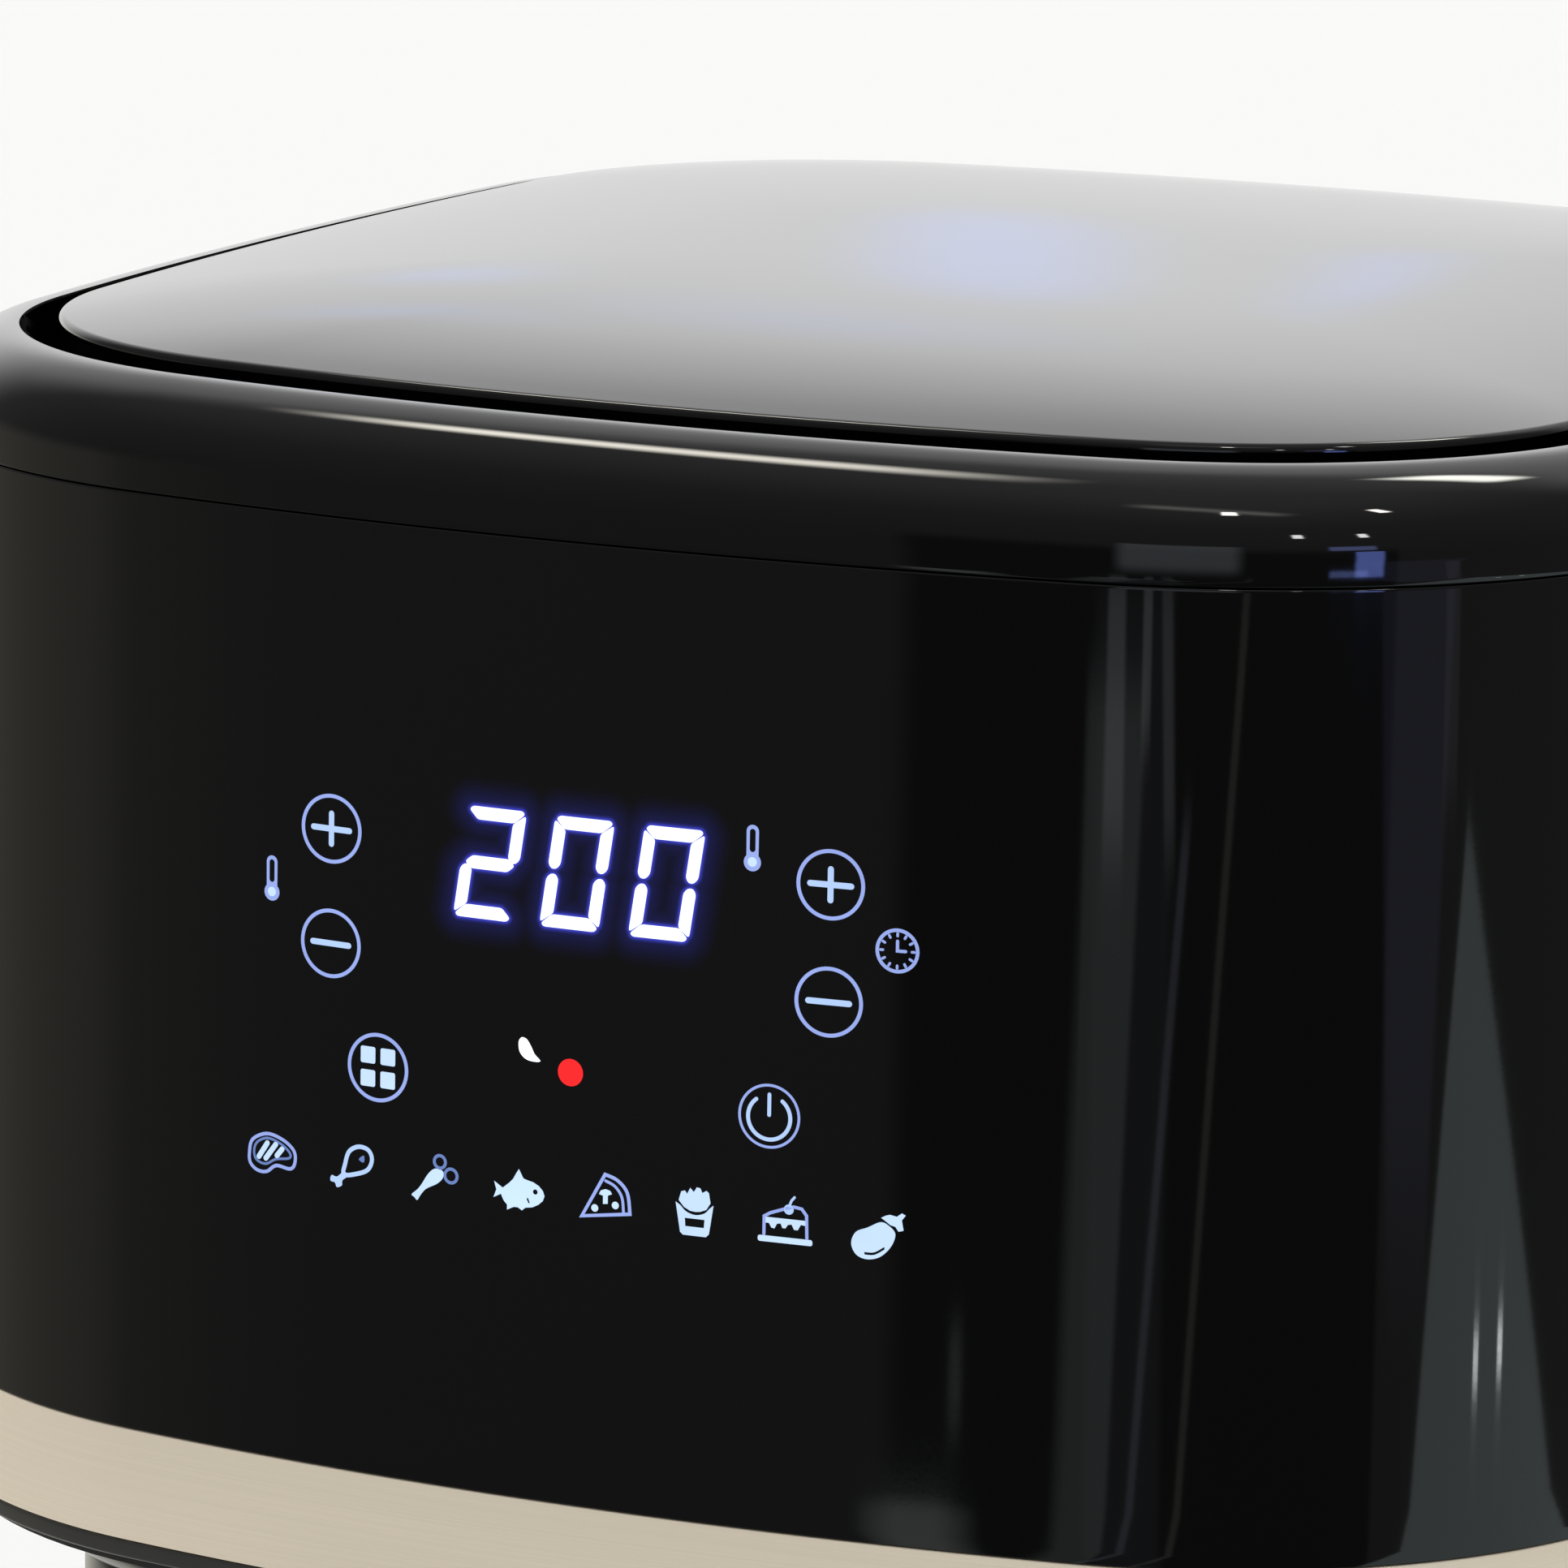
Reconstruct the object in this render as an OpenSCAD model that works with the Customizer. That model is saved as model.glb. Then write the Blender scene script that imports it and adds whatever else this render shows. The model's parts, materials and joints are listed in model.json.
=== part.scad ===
// Drawer air fryer with a bowed rounded-square head over an inset lower body.
// Millimetres, +Z up, front towards -Y, origin under the middle of the whole
// bounding box at the level of the feet.

/* [Body plan] */
// Width of the head across its sides
body_w = 310; // [304:1:320]
// Depth of the head from front to back, without the handle
body_d = 336; // [332:1:346]
// Radius of the four upright corners
corner_r = 85; // [82:1:88]
// Half of the angle that the bowed front face turns through
front_bow = 9.75; // [9:0.25:10.5]
// Half of the angle that each bowed side face turns through
side_bow = 4.25; // [4:0.25:5]

/* [Heights] */
// Height of the rubber feet under the base
foot_h = 6; // [5:0.5:8]
// Height from the base to the deck that carries the head
lower_h = 124; // [120:1:130]
// Height of the dark recess between the lower body and the head
recess_h = 2; // [1.5:0.1:3]
// Height of the plastic strip under the steel band
strip_h = 3; // [2.5:0.1:4]
// Height of the steel band
band_h = 18.4; // [16:0.2:22]
// Height of the glossy face from the band to the parting seam
face_h = 151.6; // [148:0.4:156]
// Width of the parting seam
seam_h = 0.7; // [0.4:0.1:1]
// Height of the shoulder ring above the seam
shoulder_h = 16.2; // [15:0.2:18]
// Rise of the top panel's dome above its edge
dome_h = 6; // [3:0.5:8]

/* [Shell] */
// Wall of the head shell and of the lower housing
wall = 3; // [2.5:0.1:3.5]
// Thickness of the steel band
band_t = 1.2; // [0.8:0.1:1.5]
// How far the lower housing stands in from the head
lower_inset = 26; // [25:0.5:28]
// How far the collar's widest edge stands in from the head
collar_inset = 14.6; // [12:0.2:18]
// Inset of the shoulder ring's inner edge, where the air inlet gap begins
rim_inset = 14.8; // [13:0.1:16]
// Width of the air inlet gap around the top panel
inlet_gap = 5.2; // [4.5:0.1:6]

/* [Drawer] */
// Width of the pot
pot_w = 216; // [210:1:217]
// Depth of the pot
pot_d = 236; // [230:1:237]
// Radius of the pot's upright corners
pot_r = 45; // [42:1:46]
// Wall of the pot
pot_t = 1.6; // [1.2:0.1:2]
// Diameter of the holes in the crisper plate
crisper_hole = 7; // [5:0.5:8]
// Reach of the handle in front of the drawer front
handle_reach = 42; // [38:1:46]
// Width of the handle
handle_w = 124; // [110:2:140]

/* [Control panel] */
// Spacing of the food symbols in the bottom row
symbol_pitch = 14.96; // [14:0.02:16]
// Distance of the plus and minus buttons from the middle
button_x = 42.7; // [40:0.1:45]
// Distance of the menu and power buttons from the middle
menu_x = 33.7; // [32:0.1:36]
// Radius of the round touch buttons
button_r = 5.5; // [5:0.1:6]

/* [Hidden] */
$fn = 48;

// levels
z_base = foot_h;
pan_t = 3;
z_pan_top = z_base + pan_t;
z_deck = z_base + lower_h;
deck_t = 3.4;
z_deck_top = z_deck + deck_t;
z_strip = z_deck + recess_h;
z_band_foot = z_strip + strip_h;
shadow_line = 0.3;
z_band = z_band_foot + shadow_line;
z_face = z_band + band_h;
z_seam = z_face + face_h;
z_ring = z_seam + seam_h;
z_rim = z_ring + shoulder_h;
panel_edge_rise = 1.3;
z_panel_edge = z_rim + panel_edge_rise;
z_tray_top = z_ring - 7;
tray_t = 3;
collar_h = 10;
z_collar = z_deck - collar_h;

// plan of the head: exact tangent arcs, bowed front and sides, round corners
half_w = body_w / 2;
half_d = body_d / 2;
bow_det = sin(front_bow) * sin(side_bow) - (1 - cos(side_bow)) * (1 - cos(front_bow));
front_r = corner_r + ((half_w - corner_r) * sin(side_bow)
    - (half_d - corner_r) * (1 - cos(side_bow))) / bow_det;
side_r = corner_r + ((half_d - corner_r) * sin(front_bow)
    - (half_w - corner_r) * (1 - cos(front_bow))) / bow_det;
corner_x = (front_r - corner_r) * sin(front_bow);
corner_y = half_d - front_r + (front_r - corner_r) * cos(front_bow);

// the handle and the rear inlet set where the body sits along Y
drawer_inset = lower_inset - 2;
inlet_reach = 6;
handle_front = half_d - drawer_inset + handle_reach;
body_y = (handle_front - half_d - inlet_reach) / 2;

// cooking chamber and drive levels
hood_w = 214;
hood_d = 234;
hood_t = 1.2;
hood_r = 45;
z_hood_top = 190;
z_coil = 160;
z_guard = 144;
z_shield = 197;
z_plate = 212;
plate_t = 2.5;
z_stator = 230;
stator_h = 26;
shaft_r = 4;
post_x = 104;
post_y = 116;

// drawer levels
z_pot = 16;
pot_h = 101;
z_pot_top = z_pot + pot_h;
rim_w = 5.5;
rim_t = 2;
pot_front = -pot_d / 2;
front_half_w = 115.4;
grip_d = 20;
grip_h = 24;
z_grip = 72;
arm_w = 16;
screw_x = handle_w / 2 - arm_w / 2;
z_crisper = 28;
crisper_t = 2;
crisper_gap = 2.4;

// coil ends: the outer ring rises on the left, the inner one returns below and rises on the right
coil_outer = 82;
coil_pitch = 15;
coil_split = 12;
return_r = 91;
function polar(r, a) = [r * cos(a), r * sin(a)];
terminals = [polar(coil_outer, 90 + coil_split), polar(return_r, 90 - coil_split)];

// control panel levels, counted down from the seam
z_plus = z_seam - 48.8;
z_minus = z_seam - 67;
z_menu = z_seam - 85.5;
z_symbols = z_seam - 102;
z_digits = z_seam - 51.3;
z_fan_symbol = z_seam - 79.5;
board_y = 150;
board_t = 1.6;

// points of one arc, from angle a to angle b
function arc(cx, cy, r, a, b, steps) =
    [for (i = [0:steps - 1]) let (t = a + (b - a) * i / steps) [cx + r * cos(t), cy + r * sin(t)]];

// outline of the head, moved in by an inset, counter-clockwise from the middle of the right side
function quarter(inset) = concat(
    arc(half_w - side_r, 0, side_r - inset, 0, side_bow, 3),
    arc(corner_x, corner_y, corner_r - inset, side_bow, 90 - front_bow, 19),
    arc(0, half_d - front_r, front_r - inset, 90 - front_bow, 90, 5)
);
function flip(points, sx, sy) = [for (p = points) [p[0] * sx, p[1] * sy]];
function turn_round(points) = [for (i = [len(points) - 1:-1:0]) points[i]];
function outline(inset) = let (
    q = quarter(inset),
    mid = [[0, half_d - inset]],
    side = [[-half_w + inset, 0]],
    up_left = turn_round(flip([for (i = [1:len(q) - 1]) q[i]], -1, 1)),
    half = concat(q, mid, up_left, side),
    low = turn_round(flip([for (i = [1:len(half) - 2]) half[i]], 1, -1))
) concat(half, low);

module at_body(z = 0) {
    translate([0, body_y, z]) children();
}

module plate_at(z, h, inset) {
    at_body(z) linear_extrude(h) polygon(outline(inset));
}

module ring_at(z, h, outer, inner) {
    at_body(z) linear_extrude(h) difference() {
        polygon(outline(outer));
        polygon(outline(inner));
    }
}

// a closed profile of [inset, height] carried all the way round the outline
module swept_ring(profile) {
    rows = len(profile);
    n = len(outline(0));
    points = [for (p = profile) for (q = outline(p[0])) [q[0], q[1], p[1]]];
    faces = [for (i = [0:rows - 1]) for (j = [0:n - 1])
        let (i2 = (i + 1) % rows, j2 = (j + 1) % n)
        each [[i * n + j, i2 * n + j, i2 * n + j2], [i * n + j, i2 * n + j2, i * n + j2]]];
    at_body() polyhedron(points, faces);
}

// the same with an open profile, from its foot to its top, closed by two flat caps
module swept_solid(profile) {
    rows = len(profile);
    n = len(outline(0));
    points = [for (p = profile) for (q = outline(p[0])) [q[0], q[1], p[1]]];
    sides = [for (i = [0:rows - 2]) for (j = [0:n - 1])
        let (j2 = (j + 1) % n)
        each [[i * n + j, (i + 1) * n + j, (i + 1) * n + j2],
            [i * n + j, (i + 1) * n + j2, i * n + j2]]];
    foot = [for (j = [0:n - 1]) j];
    top = [for (j = [n - 1:-1:0]) (rows - 1) * n + j];
    at_body() polyhedron(points, concat(sides, [foot], [top]));
}

module round_rect(w, d, r) {
    square([w - 2 * r, d], center = true);
    square([w, d - 2 * r], center = true);
    for (x = [-1, 1]) for (y = [-1, 1])
        translate([x * (w / 2 - r), y * (d / 2 - r)]) circle(r);
}

module round_slab(w, d, r, z, h) {
    at_body(z) linear_extrude(h) round_rect(w, d, r);
}

module round_tube(w, d, r, t, z, h) {
    at_body(z) linear_extrude(h) difference() {
        round_rect(w, d, r);
        round_rect(w - 2 * t, d - 2 * t, r - t);
    }
}

module box_at(x, y, z, size) {
    at_body(z) translate([x - size[0] / 2, y - size[1] / 2, 0]) cube(size);
}

module rod(x, y, z, r, h) {
    at_body(z) translate([x, y, 0]) cylinder(r = r, h = h);
}

module rod_along_y(x, y, z, r, length) {
    at_body(z) translate([x, y, 0]) rotate([-90, 0, 0]) cylinder(r = r, h = length);
}

module four(x, y) {
    for (sx = [-1, 1]) for (sy = [-1, 1]) translate([sx * x, sy * y, 0]) children();
}

// ---------- lower body ----------

foot_x = 84;
foot_y = 96;
foot_r = 11;
rib_h = z_pot - z_pan_top - 0.4;
boss_x = 121.5;
boss_y = 60;
rear_boss_x = 105;
rear_boss_y = 115;
boss_r = 4;
boss_h = 45;
screw_r = 1.6;

module boss_places() {
    for (s = [-1, 1]) {
        translate([s * boss_x, -boss_y, 0]) children();
        translate([s * rear_boss_x, rear_boss_y, 0]) children();
    }
}

module rubber_feet() {
    color("#1b1b1b") at_body() four(foot_x, foot_y) difference() {
        cylinder(r = foot_r, h = foot_h);
        translate([0, 0, -1]) cylinder(r = 3.2, h = 3);
    }
}

module base_pan() {
    color("#202020") difference() {
        union() {
            plate_at(z_base, pan_t, lower_inset);
            for (x = [-70, 0, 70]) box_at(x, 0, z_pan_top - 0.5, [5, 200, rib_h + 0.5]);
        }
        at_body(z_base - 1) boss_places() cylinder(r = screw_r + 0.2, h = pan_t + 2);
        at_body(z_base - 1) boss_places() cylinder(r = 3.4, h = 2.4);
        for (x = [-35, 35]) for (i = [-5:5]) box_at(x, i * 9, z_base - 1, [36, 3, pan_t + 2]);
    }
}

module base_screws() {
    color("#8a8c90") at_body(z_base) boss_places() {
        cylinder(r = 3, h = 1.4);
        cylinder(r = screw_r, h = 15);
    }
}

module lower_housing() {
    color("#151515") difference() {
        union() {
            ring_at(z_pan_top, z_collar - z_pan_top, lower_inset, lower_inset + wall);
            at_body(z_pan_top) boss_places() cylinder(r = boss_r, h = boss_h);
        }
        at_body(z_pan_top - 1) translate([-front_half_w - 0.6, -half_d, 0])
            cube([2 * front_half_w + 1.2, half_d - 40, lower_h]);
        at_body(z_pan_top - 1) boss_places() cylinder(r = screw_r + 0.1, h = 16);
    }
}

module lower_collar() {
    steps = 7;
    bulge = [for (i = [0:steps]) let (t = 90 * i / steps)
        [lower_inset - (lower_inset - collar_inset) * sin(t), z_deck - collar_h * cos(t)]];
    inside = lower_inset + wall;
    profile = concat(bulge, [[collar_inset + 4, z_deck], [inside, z_collar + 4],
        [inside, z_collar]]);
    color("#181818") swept_ring(profile);
}

rail_x = 114.6;
rail_t = 2;
rail_foot = 7;
rail_len = 146;
module drawer_rails() {
    color("#a8aaad") for (s = [-1, 1]) {
        box_at(s * (rail_x + rail_t / 2), 3, z_pot_top - 5,
            [rail_t, rail_len, z_deck - z_pot_top + 5]);
        box_at(s * (rail_x + rail_t - rail_foot / 2), 3, z_pot_top - 5, [rail_foot, rail_len, 2.2]);
    }
}

module deck_plate() {
    color("#1c1c1c") difference() {
        plate_at(z_deck, deck_t, 4);
        round_slab(hood_w, hood_d, hood_r, z_deck - 1, deck_t + 2);
        at_body(z_deck + 0.8) four(post_x, post_y) cylinder(r = screw_r + 0.1, h = deck_t);
    }
}

// ---------- head ----------

module trim_strip() {
    color("#2b2b2a") ring_at(z_strip, strip_h, 0.4, 4);
}

module steel_band() {
    color("#cfc6b4") ring_at(z_band, band_h, 0, band_t);
}

cover_w = 144;
cover_h = 71;
module head_shell() {
    color("#0d0d0d") difference() {
        union() {
            ring_at(z_band_foot, z_face - z_band_foot, band_t, 4);
            ring_at(z_face, face_h, 0, wall);
        }
        box_at(0, half_d, z_face, [cover_w, 40, cover_h]);
    }
}

module top_ring() {
    steps = 7;
    under_steps = 4;
    start = 3;
    lip = 1.5;
    crest = rim_inset - lip;
    rise = z_rim - z_ring - start;
    t_wall = 2.5;
    shoulder = [for (i = [0:steps]) let (t = 90 * i / steps)
        [crest * (1 - cos(t)), z_ring + start + rise * sin(t)]];
    under = [for (i = [under_steps:-1:0]) let (t = 90 * i / under_steps)
        [5.4 + (crest - t_wall - 5.4) * (1 - cos(t)), z_ring + start + (rise - t_wall) * sin(t)]];
    profile = concat([[0, z_ring]], shoulder,
        [[rim_inset - 0.4, z_rim - 0.5], [rim_inset, z_rim - lip], [rim_inset, z_tray_top],
        [rim_inset - t_wall, z_tray_top], [rim_inset - t_wall, z_rim - t_wall - 3]],
        under, [[5.4, z_tray_top], [wall + 0.2, z_tray_top], [wall + 0.2, z_ring]]);
    color("#0e0e0e") swept_ring(profile);
}

slot_pitch = 13;
slot_rows = 6;
module intake_tray() {
    color("#161616") difference() {
        plate_at(z_tray_top - tray_t, tray_t, wall);
        for (s = [-1, 1]) for (i = [-slot_rows:slot_rows]) {
            box_at(i * slot_pitch, s * (half_d - 30), z_tray_top - tray_t - 1,
                [5, 24, tray_t + 2]);
            box_at(s * (half_w - 30), i * slot_pitch, z_tray_top - tray_t - 1,
                [24, 5, tray_t + 2]);
        }
        at_body(z_tray_top - tray_t - 1) cylinder(r = 60, h = tray_t + 2);
    }
}

panel_inset = rim_inset + inlet_gap;
z_panel_foot = z_panel_edge - 5.5;
module panel_posts() {
    color("#1a1a1a") at_body(z_tray_top) four(80, 92) {
        cylinder(r = 4.5, h = z_panel_foot - z_tray_top);
        cylinder(r = 8, h = 2);
    }
}

module top_panel() {
    steps = 6;
    span = 58;
    dome = [for (i = [0:steps]) let (t = 90 * i / steps)
        [panel_inset + 1.4 + span * (i / steps), z_panel_edge + dome_h * sin(t)]];
    color("#101010") swept_solid(concat(
        [[panel_inset + 1, z_panel_foot], [panel_inset, z_panel_foot + 1],
        [panel_inset, z_panel_edge - 1.4], [panel_inset + 0.4, z_panel_edge - 0.4]], dome));
}

// ---------- control panel ----------

guide_half_w = 62;
z_guide = z_symbols - 8;
guide_h = z_seam - 36 - z_guide;
display_w = 50;
display_h = 24;

module symbol_wells(depth, r) {
    at_body() for (s = [-1, 1]) {
        for (z = [z_plus, z_minus]) translate([s * button_x, -board_y, z])
            rotate([90, 0, 0]) cylinder(r = button_r, h = depth);
        translate([s * menu_x, -board_y, z_menu]) rotate([90, 0, 0])
            cylinder(r = button_r, h = depth);
    }
    at_body() for (i = [0:7]) translate([(i - 3.5) * symbol_pitch, -board_y, z_symbols])
        rotate([90, 0, 0]) cylinder(r = r, h = depth);
    at_body() for (x = [-7.2, 0.2]) translate([x, -board_y, z_fan_symbol])
        rotate([90, 0, 0]) cylinder(r = 2.4, h = depth);
}

module light_guide() {
    color("#d8d8d4") difference() {
        intersection() {
            plate_at(z_guide, guide_h, wall + 0.3);
            box_at(0, -board_y - 20, z_guide, [2 * guide_half_w, 40, guide_h]);
        }
        symbol_wells(8, 4.6);
        box_at(1, -board_y - 4, z_digits - display_h / 2 - 0.3,
            [display_w + 0.6, 8.4, display_h + 0.6]);
    }
}

module led_display() {
    color("#e8eef8") box_at(1, -board_y - 3.6, z_digits - display_h / 2,
        [display_w, 7.2, display_h]);
}

module touch_springs() {
    spring_len = 5;
    color("#c9a24a") at_body() {
        for (s = [-1, 1]) for (p = [[button_x, z_plus], [button_x, z_minus], [menu_x, z_menu]])
            translate([s * p[0], -board_y, p[1]]) rotate([90, 0, 0]) difference() {
                cylinder(r = 3.4, h = spring_len);
                translate([0, 0, 1]) cylinder(r = 2.6, h = spring_len);
            }
        for (i = [0:7]) translate([(i - 3.5) * symbol_pitch, -board_y, z_symbols])
            rotate([90, 0, 0]) difference() {
                cylinder(r = 3, h = spring_len);
                translate([0, 0, 1]) cylinder(r = 2.2, h = spring_len);
            }
    }
}

module control_board() {
    color("#1f6b3a") box_at(0, -board_y + board_t / 2, z_guide - 6,
        [2 * guide_half_w + 12, board_t, guide_h + 12]);
}

module board_clips() {
    clip_y = -board_y + board_t;
    color("#202020") for (s = [-1, 1]) {
        box_at(s * 60, clip_y + 4, z_guide - 10, [6, 8, guide_h + 20]);
        box_at(s * 60, clip_y + 17, z_plate + plate_t, [6, 18, 4]);
        box_at(s * 60, clip_y + 9.5, z_plate + plate_t, [6, 3, 14]);
    }
}

// ---------- cooking chamber ----------

duct_w = 94;
duct_h = 16;
duct_t = 1.2;
z_duct = z_hood_top - 17.5;

module terminal_holes(z, r, h) {
    for (t = terminals) rod(t[0], t[1], z, r, h);
}

module chamber_hood() {
    color("#b9bcc0") difference() {
        union() {
            round_tube(hood_w + 2 * hood_t, hood_d + 2 * hood_t, hood_r + hood_t, hood_t,
                z_deck_top, z_hood_top - z_deck_top);
            round_slab(hood_w + 2 * hood_t, hood_d + 2 * hood_t, hood_r + hood_t,
                z_hood_top - hood_t, hood_t);
            round_tube(hood_w + 12, hood_d + 12, hood_r + 6, 6 - hood_t / 2, z_deck_top, hood_t);
        }
        rod(0, 0, z_hood_top - 5, 9, 10);
        terminal_holes(z_hood_top - 5, 5.6, 10);
        box_at(0, hood_d / 2, z_duct + duct_t, [duct_w - 2 * duct_t, 8, duct_h - 2 * duct_t]);
        rod_along_y(-80, hood_d / 2 - 30, 150, 2.6, 40);
    }
}

coil_tube = 3.2;
knuckle = 3.8;
module coil_ring(r) {
    rotate([0, 0, 90 + coil_split]) rotate_extrude(angle = 360 - 2 * coil_split)
        translate([r, 0]) circle(coil_tube, $fn = 24);
    for (s = [-1, 1]) rotate([0, 0, 90 + s * coil_split]) translate([r, 0, 0]) sphere(knuckle);
}

module coil_link(side, r, length) {
    rotate([0, 0, 90 + side * coil_split]) translate([r, 0, 0]) rotate([0, 90, 0])
        cylinder(r = coil_tube, h = length);
}

module heater_coil() {
    middle = coil_outer - coil_pitch;
    inner = middle - coil_pitch;
    drop = 8;
    color("#55504a") at_body(z_coil) {
        for (r = [coil_outer, middle, inner]) coil_ring(r);
        coil_link(-1, middle, coil_pitch);
        coil_link(1, inner, coil_pitch);
        translate([0, 0, -drop]) coil_link(-1, inner, return_r - inner);
        rotate([0, 0, 90 - coil_split]) for (r = [inner, return_r])
            translate([r, 0, -drop]) sphere(knuckle);
        rotate([0, 0, 90 - coil_split]) translate([inner, 0, -drop])
            cylinder(r = coil_tube, h = drop);
        translate([terminals[0][0], terminals[0][1], 0]) cylinder(r = coil_tube, h = 40);
        translate([terminals[1][0], terminals[1][1], -drop])
            cylinder(r = coil_tube, h = 40 + drop);
    }
}

module heater_bushings() {
    color("#e9e4d8") difference() {
        union() {
            terminal_holes(z_hood_top - 4, 5.4, 9);
            terminal_holes(z_hood_top, 7, 2);
        }
        terminal_holes(z_hood_top - 5, coil_tube + 0.1, 12);
    }
}

guard_wire = 1.2;
module element_guard() {
    color("#c8cacc") at_body(z_guard) {
        for (r = [24:12:96]) translate([0, 0, -guard_wire]) difference() {
            cylinder(r = r + guard_wire, h = 2 * guard_wire);
            translate([0, 0, -1]) cylinder(r = r - guard_wire, h = 2 * guard_wire + 2);
        }
        for (a = [45, 135]) rotate([0, 0, a]) translate([-99, -guard_wire, guard_wire - 0.4])
            cube([198, 2 * guard_wire, 2 * guard_wire]);
    }
}

module guard_brackets() {
    color("#b9bcc0") at_body() for (a = [45:90:315]) rotate([0, 0, a]) {
        translate([99, -5, z_guard - guard_wire])
            cube([1, 10, z_hood_top - hood_t - z_guard + guard_wire]);
    }
}

module heat_shield() {
    color("#c3c5c8") difference() {
        round_slab(200, 220, 40, z_shield, 1);
        rod(0, 0, z_shield - 1, 12, 4);
        terminal_holes(z_shield - 1, 9, 4);
    }
}

module support_posts() {
    color("#9a9ca0") at_body(z_deck_top) four(post_x, post_y) difference() {
        cylinder(r = 4, h = z_plate - z_deck_top);
        translate([0, 0, z_plate - z_deck_top - 12]) cylinder(r = screw_r + 0.1, h = 14);
    }
}

bolt_ring_x = 40;
module motor_plate() {
    color("#a3a6aa") difference() {
        plate_at(z_plate, plate_t, wall);
        rod(0, 0, z_plate - 1, 30, plate_t + 2);
        at_body(z_plate - 1) four(post_x, post_y) cylinder(r = screw_r + 0.2, h = plate_t + 2);
        at_body(z_plate - 1) for (s = [-1, 1]) translate([s * bolt_ring_x, 0, 0])
            cylinder(r = 2.1, h = plate_t + 2);
        terminal_holes(z_plate - 1, 7, 5);
        box_at(0, -half_d, z_plate - 1, [2 * guide_half_w + 16, 2 * (half_d - board_y + 12), 5]);
        for (s = [-1, 1]) for (i = [-4:4]) box_at(s * 84, i * 12, z_plate - 1, [44, 5, plate_t + 2]);
    }
}

module post_screws() {
    color("#8a8c90") at_body(z_plate) four(post_x, post_y) {
        translate([0, 0, plate_t]) cylinder(r = 3.6, h = 2.2);
        translate([0, 0, -8]) cylinder(r = screw_r, h = plate_t + 9);
    }
}

// ---------- motor and fans ----------

module motor_stator() {
    color("#8d9196") difference() {
        box_at(0, 0, z_stator, [58, 58, stator_h]);
        rod(0, 0, z_stator - 1, 17.5, stator_h + 2);
        for (s = [-1, 1]) rod(s * 24, 0, z_stator - 1, 2.1, stator_h + 2);
    }
}

module motor_windings() {
    color("#b0632d") difference() {
        union() for (z = [z_stator - 6, z_stator + stator_h]) rod(0, 0, z, 20.5, 6);
        rod(0, 0, z_stator - 8, 17.4, stator_h + 16);
    }
}

bracket_t = 2;
z_bracket = z_stator - 8.2;
module motor_bracket() {
    top = z_stator + stator_h + 8.2;
    color("#b5b8bc") difference() {
        union() {
            box_at(0, 0, z_bracket, [92, 26, bracket_t]);
            for (s = [-1, 1]) box_at(s * 45, 0, z_plate + plate_t,
                [2, 26, z_bracket + bracket_t - z_plate - plate_t]);
            for (s = [-1, 1]) box_at(s * 39, 0, z_plate + plate_t, [14, 26, bracket_t]);
            box_at(0, 0, top - bracket_t, [58, 26, bracket_t]);
            for (s = [-1, 1]) rod(s * 24, 0, z_bracket, 3.4, z_stator - z_bracket);
            for (s = [-1, 1]) rod(s * 24, 0, z_stator + stator_h, 3.4, 8.2);
        }
        rod(0, 0, z_bracket - 1, 6.1, top - z_bracket + 2);
        for (s = [-1, 1]) rod(s * 24, 0, z_bracket - 1, 2.1, top - z_bracket + 2);
        for (s = [-1, 1]) rod(s * bolt_ring_x, 0, z_plate, 2.1, 8);
    }
}

module motor_bearings() {
    top = z_stator + stator_h + 8.2;
    color("#b08d4f") for (z = [z_bracket - 2, top - bracket_t - 1]) difference() {
        rod(0, 0, z, 6, 5);
        rod(0, 0, z - 1, shaft_r + 0.05, 7);
    }
}

module motor_bolts() {
    top = z_stator + stator_h + 8.2;
    color("#8a8c90") {
        for (s = [-1, 1]) {
            rod(s * 24, 0, z_bracket - 1, 2, top - z_bracket + 2);
            rod(s * 24, 0, top, 3.6, 2.4);
            rod(s * 24, 0, z_bracket - 2.4, 3.6, 2.4);
            rod(s * bolt_ring_x, 0, z_plate - 1, 2, plate_t + bracket_t + 2);
            rod(s * bolt_ring_x, 0, z_plate + plate_t + bracket_t, 3.6, 2.2);
        }
    }
}

z_hot_fan = 166;
hot_fan_h = 16;
module fan_shaft() {
    color("#9fa1a5") rod(0, 0, z_hot_fan - 5, shaft_r, z_stator + stator_h + 14 - z_hot_fan + 5);
}

module motor_rotor() {
    color("#7a7d82") difference() {
        rod(0, 0, z_stator, 16.8, stator_h);
        rod(0, 0, z_stator - 1, shaft_r, stator_h + 2);
    }
}

module fan_blades(count, r_in, r_out, h) {
    for (i = [0:count - 1]) rotate([0, 0, i * 360 / count])
        translate([r_in, -0.6, 0]) rotate([0, 0, 18]) cube([r_out - r_in, 1.2, h]);
}

module hot_fan() {
    color("#b9bcc0") difference() {
        at_body(z_hot_fan) {
            translate([0, 0, hot_fan_h - 1.2]) cylinder(r = 72, h = 1.2);
            fan_blades(12, 26, 70, hot_fan_h - 0.6);
            cylinder(r = 8, h = hot_fan_h);
        }
        rod(0, 0, z_hot_fan - 1, shaft_r, hot_fan_h + 2);
    }
}

module cooling_fan() {
    z_fan = z_shield + 3;
    color("#c9cbce") difference() {
        at_body(z_fan) {
            cylinder(r = 56, h = 1);
            fan_blades(14, 22, 54, 9);
            cylinder(r = 8, h = 10);
        }
        rod(0, 0, z_fan - 1, shaft_r, 14);
    }
}

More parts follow.
